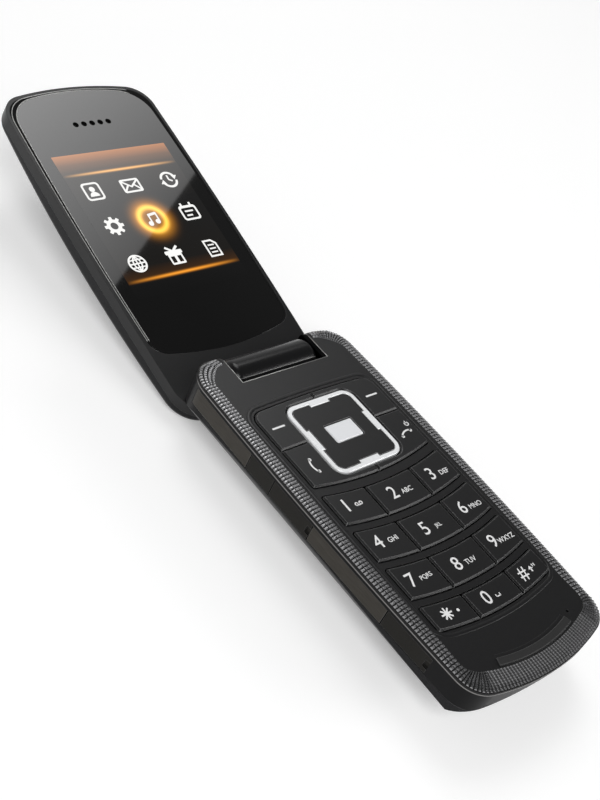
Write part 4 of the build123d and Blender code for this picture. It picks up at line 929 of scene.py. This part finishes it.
# -------------------- lit display
ICON_COLUMNS = (-11.7, -0.1, 11.9)
ICON_ROWS = (60.3, 49.5, 38.0)
INK = 0.5                   # thickness of the icons' strokes
PICTURE_SINK, PICTURE_PROUD, ICON_PROUD = 0.01, 0.008, 0.016        # from the lens's face
SIDES = (-1, 1)


def icon_contact(x, y):
    return [
        [round_box((x, y), 5.2, 5.4, 1.0), round_box((x, y), 4.1, 4.3, 0.6)],
        [circle((x, y + 0.65), 0.8, 16)],
        [band((x, y - 1.5), 0.0001, 1.35, 0, 180)],
    ]


def icon_envelope(x, y):
    w, h = 2.75, 1.95
    outline = [
        round_box((x, y), 2 * w + 0.3, 2 * h + 0.3, 0.6), round_box((x, y), 2 * w - 0.8, 2 * h - 0.8, 0.3),
    ]
    flap = [[bar((x + side * (w - 0.3), y + h - 0.4), (x, y - 0.35), INK)] for side in SIDES]
    folds = [
        [bar((x + side * (w - 0.3), y - h + 0.4), (x + side * 0.9, y + 0.2), INK)] for side in SIDES
    ]
    return [outline] + flap + folds


def icon_clock(x, y):
    shapes = [[band((x, y), 1.9, 2.55, start, start + 150)] for start in (20, 200)]
    for start in (20, 200):
        a = math.radians(start)
        tip = (x + 2.2 * math.cos(a), y + 2.2 * math.sin(a))
        shapes.append([[
            (tip[0] + 0.95 * math.cos(a + t), tip[1] + 0.95 * math.sin(a + t)) for t in (0, 2.2, 4.1)
        ]])
    return shapes + [[bar((x, y), (x, y + 1.3), INK)], [bar((x, y), (x + 0.85, y - 0.5), INK)]]


def icon_gear(x, y):
    outline = []
    for tooth in range(8):
        start = tooth * 45
        outline += arc((x, y), 2.75, start - 9, start + 9, 3) + arc((x, y), 2.0, start + 14, start + 31, 3)
    return [[outline, circle((x, y), 1.05, 20)]]


def icon_notes(x, y):
    return [
        [circle((x - 1.05, y - 1.2), 0.72, 16)],
        [circle((x + 1.25, y - 0.9), 0.72, 16)],
        [bar((x - 0.55, y - 1.2), (x - 0.55, y + 1.5), 0.45)],
        [bar((x + 1.75, y - 0.9), (x + 1.75, y + 1.8), 0.45)],
        [bar((x - 0.55, y + 1.35), (x + 1.75, y + 1.65), 0.75)],
    ]


def icon_calendar(x, y):
    return [
        [round_box((x, y), 5.4, 4.6, 0.9), round_box((x, y - 0.1), 4.3, 3.3, 0.5)],
        *([bar((x + side * 1.4, y + 2.2), (x + side * 1.4, y + 3.0), 0.6)] for side in SIDES),
        [bar((x - 1.2, y + 0.5), (x + 1.2, y + 0.5), INK)],
        [bar((x - 1.2, y - 0.8), (x + 0.4, y - 0.8), INK)],
    ]


def icon_globe(x, y):
    shapes = [
        [circle((x, y), 2.6), circle((x, y), 2.1)],
        [bar((x - 2.2, y), (x + 2.2, y), 0.4)],
        [bar((x, y - 2.2), (x, y + 2.2), 0.4)],
    ]
    for side in SIDES:
        shapes.append([bar((x - 1.9, y + side * 1.1), (x + 1.9, y + side * 1.1), 0.34)])
        turn = 90 - 90 * side
        shapes.append([band((x - side * 1.6, y), 2.45, 2.85, turn - 58, turn + 58)])
    return shapes


def icon_gift(x, y):
    panels = [round_box((x + side, y - 1.0), 1.2, 1.9, 0.1) for side in SIDES]
    return [
        [round_box((x, y - 0.9), 4.2, 3.2, 0.4), *panels],
        [round_box((x, y + 1.1), 5.2, 1.1, 0.3)],
        *([bar((x + side * 0.2, y + 1.5), (x + side * 1.7, y + 2.7), 0.65)] for side in SIDES),
    ]


def icon_page(x, y):
    shapes = [[[
        (x - 2.0, y - 2.6), (x + 2.0, y - 2.6), (x + 2.0, y + 1.4), (x + 0.8, y + 2.6), (x - 2.0, y + 2.6),
    ], [
        (x - 1.5, y - 2.1), (x - 1.5, y + 2.1), (x + 0.5, y + 2.1), (x + 1.5, y + 1.1), (x + 1.5, y - 2.1),
    ]]]
    return shapes + [[bar((x - 0.9, y + d), (x + 0.9, y + d), 0.42)] for d in (1.0, -0.1, -1.2)]


def make_display():
    """The lit picture, laid on the lens over the display, and nine plain icons of our own drawing on it."""
    picture = plate(
        [round_box((0, SCREEN_MIDDLE), SCREEN_WIDTH, SCREEN_LENGTH, 0.1)],
        LENS_TOP - PICTURE_SINK, LENS_TOP + PICTURE_PROUD, LID,
    )
    add_piece("display_picture", picture, "lid", "picture")
    icons = (
        icon_contact, icon_envelope, icon_clock,
        icon_gear, icon_notes, icon_calendar,
        icon_globe, icon_gift, icon_page,
    )
    for index, draw in enumerate(icons):
        row, column = divmod(index, 3)
        shapes = draw(ICON_COLUMNS[column], ICON_ROWS[row])
        meshes = [plate(loops, LENS_TOP, LENS_TOP + ICON_PROUD, LID) for loops in shapes]
        add_piece(draw.__name__, joined(meshes), "lid", "icon_white")


# -------------------- legends of the keys
LEGEND_LOW, LEGEND_HIGH = KEY_TOP - 0.02, KEY_TOP + 0.012
FIGURE_HEIGHT, FIGURE_WEIGHT = 3.3, 0.004
LETTER_HEIGHT, LETTER_WEIGHT = 1.25, 0.01
LETTERS_FROM_FIGURE = (3.9, -0.7)
FIGURES = (
    ("key_1", "1", "", (-15.3, 1.8)), ("key_2", "2", "ABC", (-2.0, 0.3)),
    ("key_3", "3", "DEF", (11.2, 0.8)), ("key_4", "4", "GHI", (-15.3, -8.7)),
    ("key_5", "5", "JKL", (-2.2, -10.4)), ("key_6", "6", "MNO", (11.2, -9.7)),
    ("key_7", "7", "PQRS", (-15.3, -19.3)), ("key_8", "8", "TUV", (-2.2, -20.6)),
    ("key_9", "9", "WXYZ", (11.0, -19.8)), ("key_star", "", "", (-14.1, -29.0)),
    ("key_0", "0", "", (-2.4, -30.0)), ("key_hash", "#", "", (11.0, -29.5)),
)
SOFT_DASH_X, SOFT_DASH_Y = 14.9, 25.4


def reels_mark(x, y):
    """Small voice-mail mark of the 1 key: two reels and a tape."""
    x, y = x + 3.3, y - 0.7
    reels = [[circle((x + side * 0.6, y), radius, sides) for radius, sides in ((0.5, 16), (0.25, 12))]
             for side in SIDES]
    return reels + [[bar((x - 0.6, y - 0.42), (x + 0.6, y - 0.42), 0.2)]]


def star_mark(x, y):
    """The star of eight points, and the small dot beside it."""
    star = []
    for turn in range(8):
        along = Vector((math.cos(math.radians(45 * turn)), math.sin(math.radians(45 * turn))))
        side = Vector((-along.y, along.x)) * 0.19
        between = math.radians(45 * turn + 22.5)
        star += [(x + along.x * 1.5 + end * side.x, y + along.y * 1.5 + end * side.y) for end in SIDES]
        star.append((x + 0.55 * math.cos(between), y + 0.55 * math.sin(between)))
    return [[star], [circle((x + 3.1, y - 0.4), 0.36, 16)]]


def space_mark(x, y):
    """Small open box of the 0 key."""
    left, right, low, high = x + 2.6, x + 3.8, y - 1.0, y - 0.45
    line = [(left, high), (left, low), (right, low), (right, high)]
    return [[bar(a, b, 0.26)] for a, b in zip(line, line[1:])]


def shift_mark(x, y):
    """Small arrow and ticks of the hash key."""
    x, y = x + 2.9, y + 0.2
    return [
        [[(x - 0.7, y), (x, y + 0.8), (x + 0.7, y)]],
        [bar((x, y), (x, y - 0.6), 0.42)],
        *([bar((x + tick, y + 0.9), (x + tick, y + 0.3), 0.26)] for tick in (1.1, 1.7)),
    ]


MARKS = {"key_1": reels_mark, "key_star": star_mark, "key_0": space_mark, "key_hash": shift_mark}


def handset(x, y, lean, ended):
    """A telephone handset; the one that ends a call lies flatter, with a power mark above it."""
    turn = Matrix.Rotation(math.radians(lean), 2)

    def turned(loop):
        return [tuple(turn @ Vector(p) + Vector((x, y))) for p in loop]

    bow = (2.9, 0)
    shapes = [[turned(band(bow, 2.85, 3.28, 143, 217))]]
    for side in SIDES:
        end = arc((bow[0] + 0.1, 0), 3.0, 180 + side * 35, 180, 2)[0]
        shapes.append([turned(round_box(end, 0.72, 0.8, 0.22))])
    if ended:
        middle = (x + 2.3, y + 1.9)
        shapes.append([band(middle, 0.42, 0.68, 130, 410, 15)])
        shapes.append([bar((middle[0], middle[1] + 0.1), (middle[0], middle[1] + 0.85), 0.24)])
    return shapes


def make_legends():
    def put(key, meshes):
        add_piece("legend_" + key, joined(meshes), key + "_body", "legend_white")

    def flat(shapes):
        return [plate(loops, LEGEND_LOW, LEGEND_HIGH) for loops in shapes]

    for key, figure, letters, (x, y) in FIGURES:
        meshes = []
        if figure:
            meshes.append(text_plate(figure, FIGURE_HEIGHT, (x, y), FIGURE_WEIGHT))
        if letters:
            at = (x + LETTERS_FROM_FIGURE[0], y + LETTERS_FROM_FIGURE[1])
            meshes.append(text_plate(letters, LETTER_HEIGHT, at, LETTER_WEIGHT))
        if key in MARKS:
            meshes += flat(MARKS[key](x, y))
        put(key, meshes)
    for key, side in (("soft_key_left", -1), ("soft_key_right", 1)):
        put(key, flat([[round_box((side * SOFT_DASH_X, SOFT_DASH_Y), 3.7, 0.48, 0.15)]]))
    put("call_key", flat(handset(-14.9, 13.4, 0, False)))
    put("end_key", flat(handset(14.6, 13.0, -75, True)))


# -------------------- rest
REST_RISE = 1.5             # of the ends over the middle
REST_LAYERS = (             # half-width near and far, near side, width; foot and top over the face
    ((12.1, 11.3, -44.88, 2.66), -0.5, 0.01),
    ((12.3, 11.7, -44.75, 1.75), -0.1, 0.22),
    ((12.15, 11.6, -44.62, 1.49), 0.2, 0.3),
)


def rest_outline(half, far_half, near, width):
    """Outline of the rest: two arcs and slanting ends."""
    far = near + width
    near_centre, near_radius = through((-half, near + REST_RISE), (0, near), (half, near + REST_RISE))
    far_centre, far_radius = through((-far_half, far + REST_RISE), (0, far), (far_half, far + REST_RISE))
    near_turn = math.degrees(math.asin(half / near_radius))
    far_turn = math.degrees(math.asin(far_half / far_radius))
    return (
        arc(near_centre, near_radius, -90 - near_turn, -90 + near_turn, 17)
        + arc(far_centre, far_radius, -90 + far_turn, -90 - far_turn, 17)
    )


def make_rest():
    """The rest: a slim rubber bar on a seat that is level with the face round it."""
    seat, *bars = (
        plate([rest_outline(*outline)], KEYPAD_FACE + foot, KEYPAD_FACE + top)
        for outline, foot, top in REST_LAYERS
    )
    add_piece("rest_seat", seat, "base", "soft_touch_black")
    rest = add_piece("rest_bar", joined(bars), "base", "rubber_black")
    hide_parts("rest_strip")


# -------------------- back of the phone
CROSS_HALF, CROSS_WIDTH = 0.75, 0.36
FILM_HALF = 0.02            # half the thickness of the camera's ring and eye

def make_back_details():
    """Dark crosses laid on the screw heads as painted shade of their recesses, and the camera's ring and eye
    on its window.
    """
    for index, x in enumerate((-SCREW_X, SCREW_X)):
        cross = [
            bar((x - CROSS_HALF, SCREW_Y), (x + CROSS_HALF, SCREW_Y), CROSS_WIDTH),
            bar((x, SCREW_Y - CROSS_HALF), (x, SCREW_Y + CROSS_HALF), CROSS_WIDTH),
        ]
        # painted shade: a dark cross standing a little proud of each head, for the shade in its recess
        meshes = [plate([stroke], HEAD_LOW - 0.03, HEAD_LOW + 0.05) for stroke in cross]
        add_piece(f"screw_recess_shade_{index + 1}", joined(meshes), "base", "part_black")
    for name, radii, sides, material in (
        ("camera_ring", (1.8, 1.5), 48, "camera_grey"), ("camera_eye", (1.3,), 32, "iris_blue"),
    ):
        loops = [circle((0, WINDOW_AT), radius, sides) for radius in radii]
        mesh = plate(loops, WINDOW_FACE - FILM_HALF, WINDOW_FACE + FILM_HALF, LID)
        add_piece(name, mesh, "lid", material)


bpy.context.scene.view_settings.view_transform = "Standard"
make_camera()
make_stage()
materials = make_materials()
dress_nodes()
make_knurl()
make_beads()
make_ear_sleeves()
make_rest()
make_display()
make_legends()
make_back_details()
